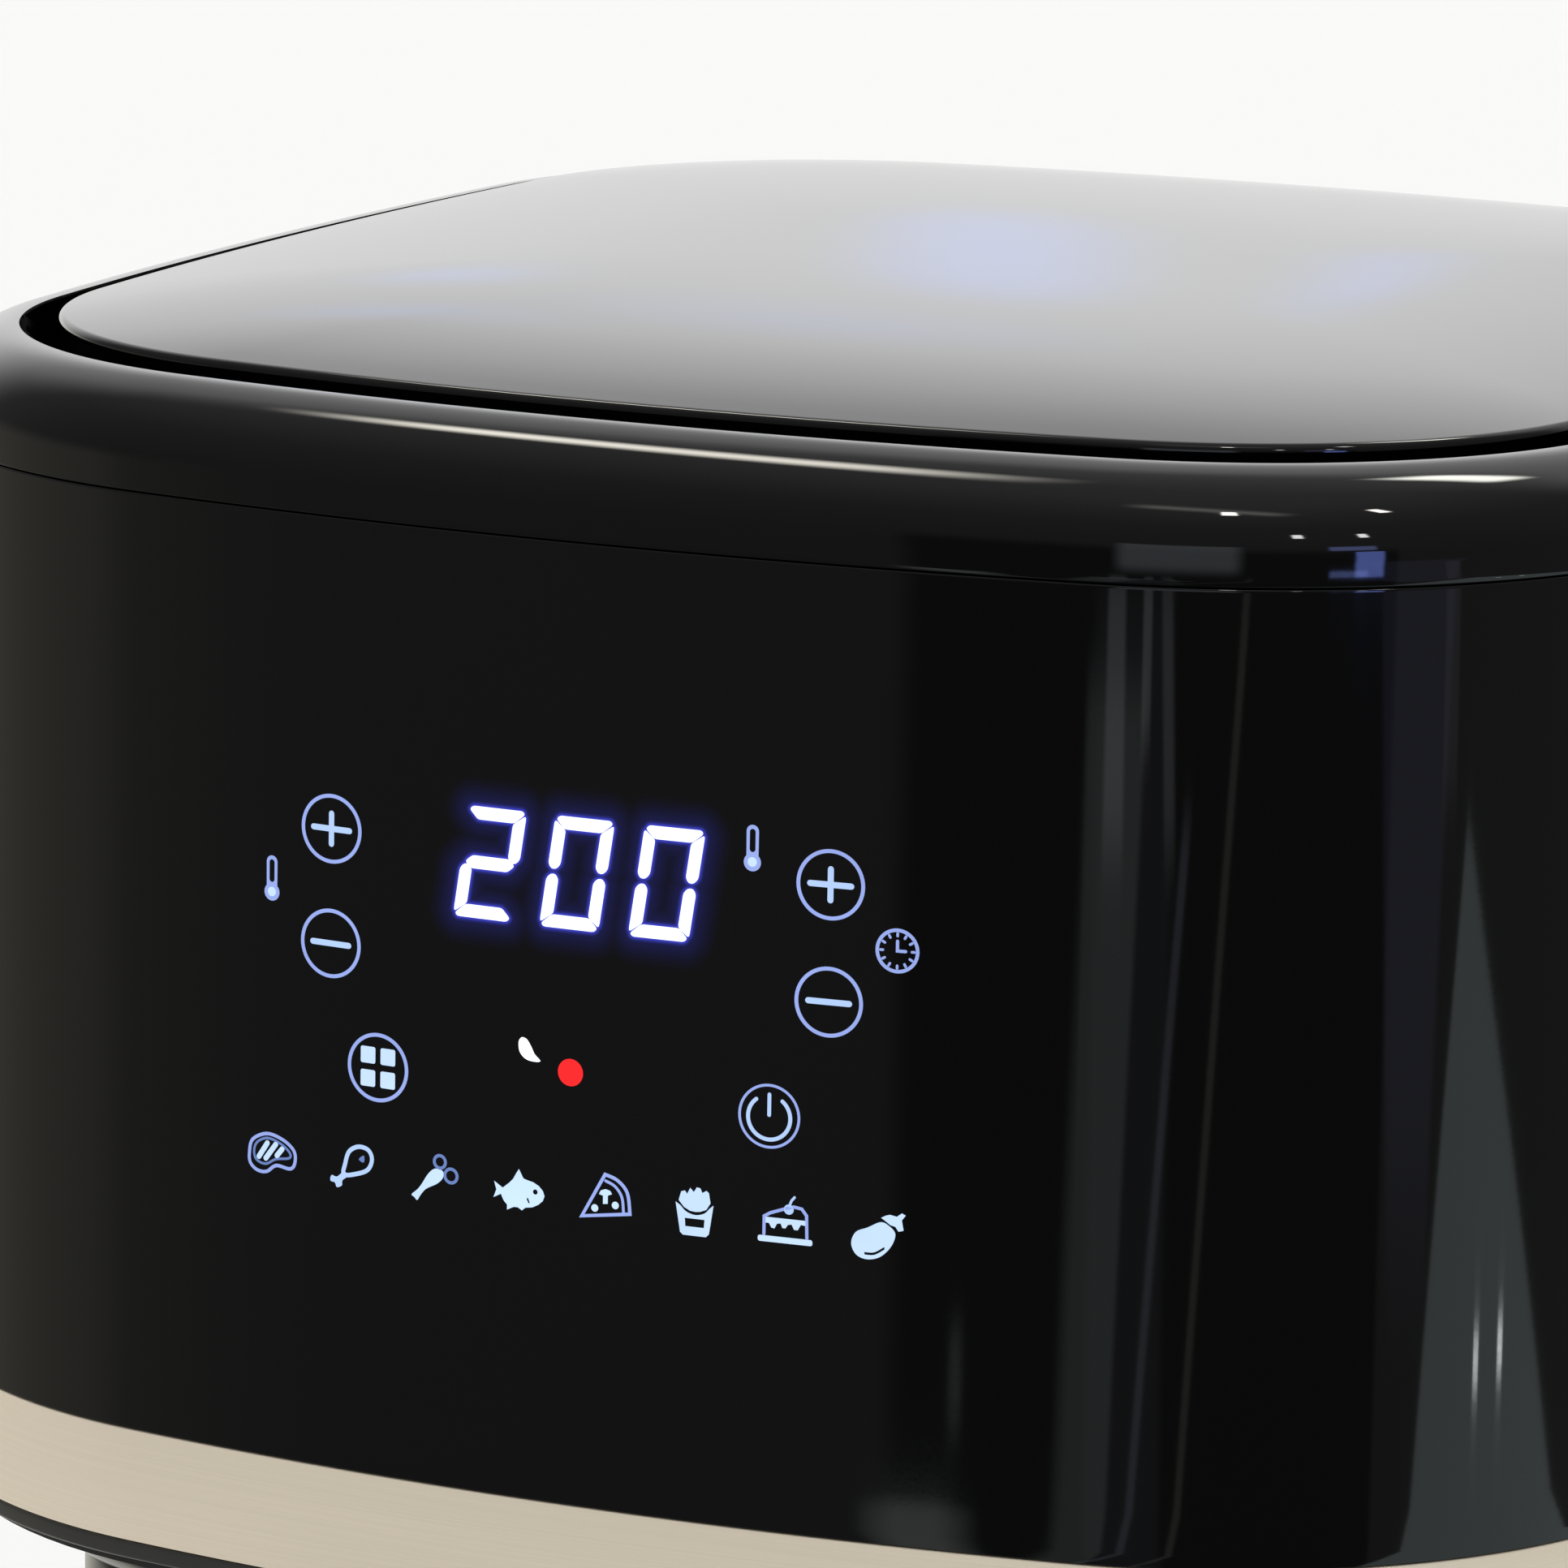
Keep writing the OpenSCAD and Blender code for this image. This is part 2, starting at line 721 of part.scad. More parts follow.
module fan_nut() {
    color("#8a8c90") difference() {
        at_body(z_hot_fan - 4) cylinder(r = 7, h = 4, $fn = 6);
        rod(0, 0, z_hot_fan - 5, shaft_r, 6);
    }
}

// ---------- rear and electrics ----------

module exhaust_duct() {
    start = hood_d / 2 + hood_t;
    depth = half_d - start;
    color("#b5b8bc") difference() {
        intersection() {
            box_at(0, start + depth / 2, z_duct, [duct_w, depth, duct_h]);
            plate_at(z_duct, duct_h, wall + 0.3);
        }
        box_at(0, start + depth / 2, z_duct + duct_t,
            [duct_w - 2 * duct_t, depth + 2, duct_h - 2 * duct_t]);
    }
}

grille_w = 120;
grille_h = 42;
z_grille = 173;
z_inlet = 163;
inlet_r = 6.5;

module rear_cover() {
    gap = 0.3;
    lip = 4;
    color("#151515") difference() {
        union() {
            intersection() {
                ring_at(z_face + gap, cover_h - 2 * gap, 0, wall);
                box_at(0, half_d, z_face, [cover_w - 2 * gap, 40, cover_h]);
            }
            intersection() {
                ring_at(z_face + gap, z_plate - 6 - z_face, wall - 0.5, wall + 1.5);
                for (s = [-1, 1]) box_at(s * (cover_w / 2 - lip - gap), half_d, z_face,
                    [2 * lip, 40, cover_h]);
            }
        }
        box_at(0, half_d, z_grille, [grille_w, 40, grille_h]);
        rod_along_y(0, half_d - 20, z_inlet, inlet_r + 0.1, 40);
    }
}

module rear_grille() {
    bars = 7;
    pitch = grille_h / bars;
    color("#171717") difference() {
        intersection() {
            ring_at(z_grille, grille_h, 0.3, wall);
            box_at(0, half_d, z_grille + 0.2, [grille_w - 0.4, 40, grille_h - 0.4]);
        }
        for (i = [0:bars - 1]) for (x = [-1, 1])
            box_at(x * 28, half_d, z_grille + (i + 0.5) * pitch - 1.6, [50, 40, 3.2]);
    }
}

module cord_inlet() {
    inner = half_d - wall - 6;
    color("#191919") difference() {
        union() {
            rod_along_y(0, inner, z_inlet, inlet_r, half_d + inlet_reach - inner);
            rod_along_y(0, half_d + 0.05, z_inlet, inlet_r + 1.5, 2.5);
            rod_along_y(0, inner, z_inlet, inlet_r + 1.5, 5.8);
        }
        rod_along_y(0, inner - 1, z_inlet, 3.6, half_d + inlet_reach - inner + 2);
    }
}

power_y = 118;
z_power = z_plate + plate_t + 6;
module power_board() {
    color("#2a7a46") box_at(0, power_y, z_power, [120, 1.6, 66]);
    color("#202020") for (s = [-1, 1]) box_at(s * 50, power_y + 5.8, z_plate + plate_t,
        [8, 10, 40]);
}

module power_parts() {
    face = power_y - 0.8;
    color("#3a3f46") {
        box_at(-38, face - 11, z_power + 8, [30, 22, 28]);
        box_at(32, face - 8, z_power + 6, [20, 16, 24]);
        box_at(52, face - 6, z_power + 40, [12, 12, 16]);
        for (i = [0:2]) at_body(z_power + 52) translate([-40 + i * 16, face, 0])
            rotate([90, 0, 0]) cylinder(r = 6, h = 20);
        box_at(0, face - 4, z_power + 10, [26, 8, 12]);
    }
}

module thermal_cutoff() {
    color("#c2b8a0") {
        rod(62, 40, z_hood_top, 8, 1);
        rod(62, 40, z_hood_top + 1, 6.5, 4);
    }
}

module temperature_sensor() {
    color("#c8cacc") {
        rod_along_y(-80, hood_d / 2 - 22, 150, 2.4, 34);
        rod_along_y(-80, hood_d / 2 + hood_t, 150, 5, 3);
    }
}

module safety_switch() {
    color("#1d1d1d") {
        box_at(0, pot_d / 2 + rim_w + 9, z_deck - 18, [22, 8, 18]);
        box_at(0, pot_d / 2 + rim_w + 3.4, z_deck - 12, [6, 3.2, 1]);
    }
}

module wire(points, r) {
    for (i = [0:len(points) - 2]) hull() {
        translate(points[i]) sphere(r, $fn = 8);
        translate(points[i + 1]) sphere(r, $fn = 8);
    }
}

module wiring() {
    from_board = -board_y + board_t + 1.5;
    color("#a03a2a") at_body() {
        wire([[30, from_board, z_menu], [64, -120, z_plate + 40], [70, 40, z_plate + 12],
            [62, power_y - 8, z_power + 10]], 1.4);
    }
    color("#2a2a2a") at_body() {
        wire([[-30, from_board, z_menu], [-64, -120, z_plate + 40], [-70, 40, z_plate + 12],
            [-62, power_y - 8, z_power + 10]], 1.4);
    }
}

// ---------- drawer ----------

module drawer_pot() {
    color("#2a2b2d") difference() {
        union() {
            round_slab(pot_w, pot_d, pot_r, z_pot, pot_h);
            round_slab(pot_w + 2 * rim_w, pot_d + 2 * rim_w, pot_r + rim_w, z_pot_top - rim_t,
                rim_t);
        }
        round_slab(pot_w - 2 * pot_t, pot_d - 2 * pot_t, pot_r - pot_t, z_pot + pot_t, pot_h);
    }
}

z_front = z_pan_top + 1;
front_h = z_collar - 0.8 - z_front;
z_handle_screw = z_grip;

module handle_bores(r) {
    for (s = [-1, 1]) rod_along_y(s * screw_x, -half_d, z_handle_screw, r, half_d + pot_front - 4);
}

module drawer_front() {
    color("#121212") difference() {
        intersection() {
            ring_at(z_front, front_h, drawer_inset, drawer_inset + wall);
            box_at(0, -half_d, z_front, [2 * front_half_w, 2 * (half_d - 60), front_h]);
        }
        handle_bores(2.1);
    }
}

carrier_half_w = 100;
module drawer_carrier() {
    skin = drawer_inset + wall;
    t = 2.5;
    low = z_pot + 2;
    high = z_pot_top - rim_t - 2;
    color("#1e1e1e") difference() {
        intersection() {
            plate_at(low, high - low, skin);
            box_at(0, (pot_front - half_d) / 2, low,
                [2 * carrier_half_w, half_d + pot_front, high - low]);
        }
        intersection() {
            plate_at(low + t, high - low - 2 * t, skin + t);
            box_at(0, (pot_front - half_d) / 2 - t, low + t,
                [2 * carrier_half_w - 2 * t, half_d + pot_front, high - low - 2 * t]);
        }
        handle_bores(2.1);
    }
}

module handle() {
    back = -handle_front + grip_d;
    arm = handle_reach - grip_d + 20;
    color("#141414") difference() {
        union() {
            at_body(z_grip - grip_h / 2) translate([-handle_w / 2, -handle_front, 0])
                linear_extrude(grip_h) translate([handle_w / 2, grip_d / 2])
                    round_rect(handle_w, grip_d, 7);
            for (s = [-1, 1]) box_at(s * screw_x, back - 8 + arm / 2, z_grip - grip_h / 2,
                [arm_w, arm, grip_h]);
        }
        at_body(z_grip - grip_h) translate([0, front_r - half_d, 0])
            cylinder(r = front_r - drawer_inset + 0.02, h = 2 * grip_h, $fn = 360);
        box_at(0, -handle_front, z_grip - 8.2, [handle_w - 27.6, 2, 16.4]);
        for (s = [-1, 1]) rod_along_y(s * screw_x, back - 2, z_handle_screw, 1.7, 60);
    }
}

module handle_inlay() {
    color("#c9c2b4") box_at(0, -handle_front + 0.5, z_grip - 8, [handle_w - 28, 1, 16]);
}

module handle_screws() {
    head = pot_front - 2.5 - 2.4;
    back = -handle_front + grip_d;
    color("#8a8c90") for (s = [-1, 1]) {
        rod_along_y(s * screw_x, back, z_handle_screw, 1.65, head - back);
        rod_along_y(s * screw_x, head, z_handle_screw, 3.4, 2.2);
    }
}

crisper_w = pot_w - 2 * pot_t - 2 * crisper_gap;
crisper_d = pot_d - 2 * pot_t - 2 * crisper_gap;
crisper_r = pot_r - pot_t - crisper_gap;
crisper_rim = 5;
module crisper_plate() {
    color("#303134") difference() {
        union() {
            round_slab(crisper_w, crisper_d, crisper_r, z_crisper, crisper_t);
            round_tube(crisper_w, crisper_d, crisper_r, 1.6, z_crisper, crisper_t + crisper_rim);
            at_body(z_pot + pot_t + 0.3) four(78, 88)
                cylinder(r = 4, h = z_crisper - z_pot - pot_t);
        }
        for (i = [-5:5]) for (j = [-6:6])
            if ((abs(i) != 5 || abs(j) < 5) && (abs(i) > 1 || abs(j) > 1))
                rod(i * 16.5, j * 15.5, z_crisper - 1, crisper_hole / 2, crisper_t + 2);
        box_at(0, 0, z_crisper - 1, [30, 12, crisper_t + 2]);
    }
}

module crisper_bumpers() {
    color("#5a2a24") at_body(z_crisper + 0.5) for (s = [-1, 1]) {
        for (y = [-50, 50]) translate([s * (crisper_w / 2 + 1), y, 3]) cube([2, 14, 5], center = true);
        for (x = [-45, 45]) translate([x, s * (crisper_d / 2 + 1), 3]) cube([14, 2, 5], center = true);
    }
}

rubber_feet();
base_pan();
base_screws();
lower_housing();
lower_collar();
drawer_rails();
deck_plate();
trim_strip();
steel_band();
head_shell();
top_ring();
intake_tray();
panel_posts();
top_panel();
light_guide();
led_display();
touch_springs();
control_board();
board_clips();
chamber_hood();
heater_coil();
heater_bushings();
element_guard();
guard_brackets();
heat_shield();
support_posts();
motor_plate();
post_screws();
motor_stator();
motor_windings();
motor_bracket();
motor_bearings();
motor_bolts();
fan_shaft();
motor_rotor();
hot_fan();
cooling_fan();
fan_nut();
exhaust_duct();
rear_cover();
rear_grille();
cord_inlet();
power_board();
power_parts();
thermal_cutoff();
temperature_sensor();
safety_switch();
wiring();
drawer_pot();
drawer_front();
drawer_carrier();
handle();
handle_inlay();
handle_screws();
crisper_plate();
crisper_bumpers();
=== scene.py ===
"""Looks of the drawer air fryer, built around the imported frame. Metres, +Z up, front towards -Y."""
import json
from math import asin, atan2, cos, hypot, pi, radians, sin, sqrt

import bmesh
import bpy
from mathutils import Matrix, Quaternion, Vector
from mathutils.geometry import tessellate_polygon


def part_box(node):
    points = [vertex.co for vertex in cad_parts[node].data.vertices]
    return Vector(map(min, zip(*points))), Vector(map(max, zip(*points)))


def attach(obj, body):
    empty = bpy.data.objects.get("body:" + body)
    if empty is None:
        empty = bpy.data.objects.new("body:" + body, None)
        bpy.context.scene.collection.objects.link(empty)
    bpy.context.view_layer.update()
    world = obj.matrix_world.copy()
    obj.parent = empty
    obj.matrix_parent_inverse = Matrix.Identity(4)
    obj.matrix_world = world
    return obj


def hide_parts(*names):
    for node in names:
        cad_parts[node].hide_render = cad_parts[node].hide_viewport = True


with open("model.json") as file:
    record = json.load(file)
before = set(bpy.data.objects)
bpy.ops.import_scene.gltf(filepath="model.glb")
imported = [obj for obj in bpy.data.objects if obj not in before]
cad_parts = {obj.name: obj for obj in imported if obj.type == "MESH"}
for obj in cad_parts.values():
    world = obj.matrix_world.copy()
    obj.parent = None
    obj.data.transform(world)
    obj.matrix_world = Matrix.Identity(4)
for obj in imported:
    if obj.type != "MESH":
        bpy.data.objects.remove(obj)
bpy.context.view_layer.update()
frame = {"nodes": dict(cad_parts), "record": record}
nodes = frame["nodes"]
MM = 0.001

# ---------- levels and plan, from the frame ----------

shell_lo, shell_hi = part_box("head_shell")
band_lo, band_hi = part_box("steel_band")
strip_lo, strip_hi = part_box("trim_strip")
ring_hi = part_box("top_ring")[1]
panel_lo, panel_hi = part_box("top_panel")
collar_lo, collar_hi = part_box("lower_collar")
lower_lo, lower_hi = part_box("lower_housing")
front_lo, front_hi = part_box("drawer_front")
pot_lo, pot_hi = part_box("drawer_pot")
grip_lo, grip_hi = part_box("handle")
inlay_lo, inlay_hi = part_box("handle_inlay")
grille_lo, grille_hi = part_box("rear_grille")
inlet_lo, inlet_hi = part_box("cord_inlet")
cover_lo, cover_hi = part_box("rear_cover")
feet_lo, feet_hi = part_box("rubber_feet")

BODY_Y = (shell_lo.y + shell_hi.y) / 2
HALF_W = (shell_hi.x - shell_lo.x) / 2
HALF_D = (shell_hi.y - shell_lo.y) / 2
Z_SEAM = shell_hi.z
CORNER = 85 * MM
FRONT_BOW = radians(9.75)
SIDE_BOW = radians(4.25)
BOW_DET = sin(FRONT_BOW) * sin(SIDE_BOW) \
    - (1 - cos(SIDE_BOW)) * (1 - cos(FRONT_BOW))
FRONT_R = CORNER + ((HALF_W - CORNER) * sin(SIDE_BOW)
                    - (HALF_D - CORNER) * (1 - cos(SIDE_BOW))) / BOW_DET
SIDE_R = CORNER + ((HALF_D - CORNER) * sin(FRONT_BOW)
                   - (HALF_W - CORNER) * (1 - cos(FRONT_BOW))) / BOW_DET
CORNER_X = (FRONT_R - CORNER) * sin(FRONT_BOW)
CORNER_Y = HALF_D - FRONT_R + (FRONT_R - CORNER) * cos(FRONT_BOW)
RIM_INSET = 15.2 * MM  # the ring's opening, a little narrower than the CAD's
PANEL_INSET = HALF_W - panel_hi.x

# ---------- camera ----------

AZIMUTH, ELEVATION, ROLL = radians(24.97), radians(11.24), radians(0.951)
camera_data = bpy.data.cameras.new("camera")
camera = bpy.data.objects.new("camera", camera_data)
bpy.context.scene.collection.objects.link(camera)
bpy.context.scene.camera = camera
camera_data.lens = 211.57
camera_data.sensor_width = 36
camera_data.clip_end = 60
camera.location = (0.61236, BODY_Y - 1.40675, Z_SEAM + 0.23773)
looking = Vector((-sin(AZIMUTH) * cos(ELEVATION),
                  cos(AZIMUTH) * cos(ELEVATION), -sin(ELEVATION)))
camera.rotation_mode = "QUATERNION"
camera.rotation_quaternion = looking.to_track_quat("-Z", "Y") @ Quaternion((0, 0, 1), ROLL)


# ---------- node graphs ----------

class Graph:
    """Builds a node tree from nested calls; add() returns the node's first output."""

    def __init__(self, tree):
        self.tree = tree
        tree.nodes.clear()

    def node(self, kind, inputs=(), **props):
        made = self.tree.nodes.new(kind)
        for key, value in props.items():
            setattr(made, key, value)
        pairs = inputs.items() if isinstance(inputs, dict) else enumerate(inputs)
        for key, value in pairs:
            if value is None:
                continue
            if isinstance(value, bpy.types.NodeSocket):
                self.tree.links.new(value, made.inputs[key])
            else:
                made.inputs[key].default_value = value
        return made

    def add(self, kind, inputs=(), out=0, **props):
        return self.node(kind, inputs, **props).outputs[out]

    def math(self, operation, *inputs):
        return self.add("ShaderNodeMath", inputs, operation=operation)

    def noise(self, vector, scale, detail=4.0, rough=0.55):
        return self.add("ShaderNodeTexNoise",
                        {"Vector": vector, "Scale": scale, "Detail": detail, "Roughness": rough})

    def stretch(self, vector, scale):
        return self.add("ShaderNodeMapping", {"Vector": vector, "Scale": scale})

    def spread(self, value, lo, hi, start=0.3, end=0.7, smooth=False):
        return self.add("ShaderNodeMapRange", [value, start, end, lo, hi],
                        interpolation_type="SMOOTHSTEP" if smooth else "LINEAR")

    def blend(self, factor, a, b, mode="MIX"):
        made = self.node("ShaderNodeMix", {0: factor}, data_type="RGBA", blend_type=mode)
        for index, value in ((6, a), (7, b)):
            if isinstance(value, bpy.types.NodeSocket):
                self.tree.links.new(value, made.inputs[index])
            else:
                made.inputs[index].default_value = (*value[:3], 1.0)
        return made.outputs[2]


def shade(colour, factor):
    return tuple(min(1.0, c * factor) for c in colour)


def surface(name, colour, rough, metal=0.0, tone=0.12, cloud=(40, 40, 40), grain=(900, 900, 900),
            grain_tone=0.0, rough_spread=0.04, bump=0.0, wave=0.0, glow=None, **constants):
    """A Principled surface whose colour, roughness and relief vary at two scales."""
    material = bpy.data.materials.new(name)
    material.use_nodes = True
    g = Graph(material.node_tree)
    place = g.add("ShaderNodeTexCoord", out=3)
    broad = g.noise(g.stretch(place, cloud), 1.0, 3.0)
    fine = g.noise(g.stretch(place, grain), 1.0, 3.0, 0.6)
    base = g.blend(g.spread(broad, 0.0, 1.0), shade(colour, 1 - tone), shade(colour, 1 + tone))
    if grain_tone:
        base = g.blend(g.spread(fine, 0.0, 1.0), base, shade(colour, 1 - grain_tone))
    roughness = g.spread(g.math("ADD", g.math("MULTIPLY", broad, 0.5),
                                g.math("MULTIPLY", fine, 0.5)),
                         max(0.02, rough - rough_spread), rough + rough_spread)
    normal = None
    if wave:
        normal = g.add("ShaderNodeBump", {"Strength": 1.0, "Distance": wave,
                                          "Height": g.noise(g.stretch(place, (14, 14, 9)), 1.0, 1.0)})
    if bump:
        inputs = {"Strength": 1.0, "Distance": bump, "Height": fine}
        if normal:
            inputs["Normal"] = normal
        normal = g.add("ShaderNodeBump", inputs)
    fill = {"Base Color": base, "Roughness": roughness, "Metallic": metal}
    if normal:
        fill["Normal"] = normal
    fill.update(constants)
    shader = g.node("ShaderNodeBsdfPrincipled", fill)
    if glow:
        hue, strength = glow
        shader.inputs["Emission Color"].default_value = (*hue, 1.0)
        g.tree.links.new(g.spread(broad, strength * 0.92, strength * 1.08),
                         shader.inputs["Emission Strength"])
    g.node("ShaderNodeOutputMaterial", {"Surface": shader.outputs[0]})
    return material


BLACK = (0.0009, 0.0009, 0.001)
looks = {}


def look(name, *values, **options):
    """Files a surface under the name of its material slot."""
    looks[name] = surface(name, *values, **options)


look("gloss_black", BLACK, 0.035, tone=0.2, rough_spread=0.012, wave=8e-5, cloud=(9, 9, 6),
     grain=(1500, 1500, 1500), bump=4e-7)
look("panel_black", BLACK, 0.05, tone=0.2, rough_spread=0.015, wave=6e-5, cloud=(9, 9, 6),
     grain=(1500, 1500, 1500), bump=4e-7)
look("satin_black", (0.016, 0.016, 0.017), 0.42, tone=0.15, bump=1.5e-5, grain=(1400, 1400, 1400),
     rough_spread=0.08)
look("dark_grey", (0.035, 0.035, 0.033), 0.33, bump=8e-6, tone=0.1, grain=(1600, 1600, 1600),
     rough_spread=0.06)
look("foot_rubber", (0.018, 0.018, 0.018), 0.75, bump=3e-5)
look("band_steel", (0.95, 0.84, 0.67), 0.36, 0.2, tone=0.035, grain_tone=0.07, cloud=(7, 7, 30),
     grain=(10, 10, 4200), bump=1.2e-6, rough_spread=0.06)
look("inlay_steel", (0.78, 0.71, 0.60), 0.3, 1.0, tone=0.05, grain_tone=0.15, cloud=(20, 20, 30),
     grain=(14, 14, 5200), bump=2e-6)
look("sheet_metal", (0.62, 0.63, 0.64), 0.32, 1.0, tone=0.12, grain_tone=0.1, cloud=(70, 70, 70),
     grain=(60, 60, 1500), bump=6e-6, rough_spread=0.1)
look("plated_steel", (0.70, 0.71, 0.72), 0.16, 1.0, tone=0.1, bump=4e-6)
look("screw_steel", (0.50, 0.51, 0.53), 0.28, 1.0, tone=0.15, bump=6e-6)
look("non_stick", (0.026, 0.026, 0.028), 0.36, tone=0.15, grain_tone=-0.9, grain=(1100, 1100, 1100),
     bump=1.6e-5, rough_spread=0.08, **{"Coat Weight": 0.25, "Coat Roughness": 0.3})
look("heater_sheath", (0.15, 0.12, 0.10), 0.46, 0.7, tone=0.45, cloud=(55, 55, 55), bump=1.5e-5,
     rough_spread=0.12)
look("ceramic", (0.78, 0.75, 0.68), 0.6, tone=0.05, bump=2e-5)
look("laminations", (0.28, 0.29, 0.31), 0.4, 0.8, grain_tone=0.5, grain=(5, 5, 2600), bump=2e-5)
look("copper_wire", (0.62, 0.27, 0.12), 0.3, 0.9, grain_tone=0.4, grain=(20, 20, 1900), bump=5e-5)
look("bearing_bronze", (0.52, 0.36, 0.17), 0.38, 0.9, bump=1e-5)
look("board_green", (0.03, 0.17, 0.08), 0.3, tone=0.25, grain_tone=0.35, cloud=(220, 220, 220),
     grain=(420, 420, 420), bump=1e-5)
look("component_black", (0.04, 0.043, 0.048), 0.4, tone=0.3, bump=1e-5)
look("diffuser_white", (0.78, 0.78, 0.76), 0.45, tone=0.04, bump=5e-6)
look("spring_gold", (0.72, 0.53, 0.22), 0.25, 1.0, grain_tone=0.4, grain=(30, 30, 1800), bump=6e-5)
look("silicone", (0.24, 0.06, 0.045), 0.55, bump=1.5e-5)
look("wire_pvc", (0.33, 0.05, 0.04), 0.4, tone=0.15, bump=6e-6)
look("display_white", (0.2, 0.22, 0.26), 0.2, tone=0.05, bump=1e-6, glow=((0.90, 0.95, 1.0), 1.25))


def lit_look(name, colour, hue, strength):
    """A smooth light guide that glows in hue."""
    return surface(name, colour, 0.2, tone=0.05, bump=1e-6, glow=(hue, strength))


line_light = lit_look("symbol_line", (0.1, 0.12, 0.2), (0.28, 0.37, 0.80), 0.95)
bar_light = lit_look("symbol_bar", (0.1, 0.12, 0.2), (0.44, 0.62, 0.95), 0.95)
fill_light = lit_look("symbol_fill", (0.12, 0.14, 0.2), (0.55, 0.74, 1.0), 0.98)
dim_light = lit_look("symbol_dim", (0.06, 0.08, 0.14), (0.12, 0.20, 0.50), 0.9)
red_light = lit_look("lamp_red", (0.3, 0.01, 0.01), (0.90, 0.012, 0.015), 1.0)

slot_of = {row["node"]: row["material_slot"] for row in frame["record"]["subparts"]}
for name, obj in nodes.items():
    obj.data.materials.clear()
    obj.data.materials.append(looks[slot_of[name]])
    for polygon in obj.data.polygons:
        polygon.material_index = 0


# ---------- meshes ----------

def from_bmesh(bm, name):
    """A linked object with bm's mesh; frees bm."""
    mesh = bpy.data.meshes.new(name)
    bm.to_mesh(mesh)
    bm.free()
    obj = bpy.data.objects.new(name, mesh)
    bpy.context.scene.collection.objects.link(obj)
    return obj


def make(name, verts, faces, material, body, slot, replaced=(), angle=32, cutters=(), keep=None):
    """A closed piece from vertices and faces, smooth except over sharp edges."""
    bm = bmesh.new()
    placed = [bm.verts.new(v) for v in verts]
    for face in faces:
        bm.faces.new([placed[i] for i in face])
    bmesh.ops.remove_doubles(bm, verts=bm.verts, dist=1e-7)
    bmesh.ops.recalc_face_normals(bm, faces=bm.faces)
    obj = from_bmesh(bm, name)
    if keep:
        cut(obj, [keep], "INTERSECT")
    if cutters:
        cut(obj, cutters)
    finish_piece(obj, material, body, replaced, angle)
    return obj


def finish_piece(obj, material, body, replaced=(), angle=32):
    mesh = obj.data
    mesh.polygons.foreach_set("use_smooth", [True] * len(mesh.polygons))
    mesh.set_sharp_from_angle(angle=radians(angle))
    mesh.materials.clear()
    mesh.materials.append(material)
    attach(obj, body)
    if replaced:
        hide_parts(*replaced)


def cut(obj, cutters, operation="DIFFERENCE"):
    """Takes the cutters' meshes out of obj, or keeps what is in them, then removes them."""
    for cutter in cutters:
        modifier = obj.modifiers.new("cut", "BOOLEAN")
        modifier.operation = operation
        modifier.solver = "EXACT"
        modifier.object = cutter
    graph = bpy.context.evaluated_depsgraph_get()
    made = bpy.data.meshes.new_from_object(obj.evaluated_get(graph))
    obj.modifiers.clear()
    obj.data = made
    for cutter in cutters:
        bpy.data.objects.remove(cutter)


def plain(name, verts, faces):
    mesh = bpy.data.meshes.new(name)
    mesh.from_pydata([tuple(v) for v in verts], [], faces)
    obj = bpy.data.objects.new(name, mesh)
    bpy.context.scene.collection.objects.link(obj)
    return obj


def box_cutter(lo, hi):
    corners = [(x, y, z) for z in (lo[2], hi[2]) for y in (lo[1], hi[1]) for x in (lo[0], hi[0])]
    faces = [(0, 2, 3, 1), (4, 5, 7, 6), (0, 1, 5, 4), (2, 6, 7, 3), (0, 4, 6, 2), (1, 3, 7, 5)]
    return plain("cutter", corners, faces)


def loft(rings, loop=False, caps=True):
    """Vertices and faces through rings of the same number of points."""
    n, m = len(rings[0]), len(rings)
    verts = [p for ring in rings for p in ring]
    faces = []
    for i in range(m if loop else m - 1):
        a, b = i * n, (i + 1) % m * n
        for j in range(n):
            k = (j + 1) % n
            faces.append((a + j, a + k, b + k, b + j))
    if caps and not loop:
        faces.append(tuple(range(n - 1, -1, -1)))
        faces.append(tuple(range((m - 1) * n, m * n)))
    return verts, faces


def arc(cx, cy, r, start, end, steps, last=False):
    count = steps + 1 if last else steps
    return [(cx + r * cos(start + (end - start) * i / steps),
             cy + r * sin(start + (end - start) * i / steps)) for i in range(count)]


def outline(inset=0.0, side=8, corner=44, front=26):
    """The bowed rounded square, moved in by inset, counter-clockwise from +X, round its own middle."""
    right = pi / 2
    quarter = (arc(HALF_W - SIDE_R, 0, SIDE_R - inset, 0, SIDE_BOW, side)
               + arc(CORNER_X, CORNER_Y, CORNER - inset, SIDE_BOW, right - FRONT_BOW, corner)
               + arc(0, HALF_D - FRONT_R, FRONT_R - inset, right - FRONT_BOW, right, front))
    upper = quarter + [(0, HALF_D - inset)] + [(-x, y) for x, y in reversed(quarter[1:])]
    upper.append((-HALF_W + inset, 0))
    return upper + [(x, -y) for x, y in reversed(upper[1:-1])]


def at_level(path, z):
    return [(x, y + BODY_Y, z) for x, y in path]


def sweep(profile):
    """A closed profile of (inset, height), carried round the plan outline."""
    return loft([at_level(outline(inset), z) for inset, z in profile], loop=True)


def fillet(centre, r, start, end, steps=5):
    """Profile points on a circle: angles in degrees, 0 pointing outwards and 90 upwards."""
    return [(centre[0] - r * cos(radians(start + (end - start) * i / steps)),
             centre[1] + r * sin(radians(start + (end - start) * i / steps)))
            for i in range(steps + 1)]


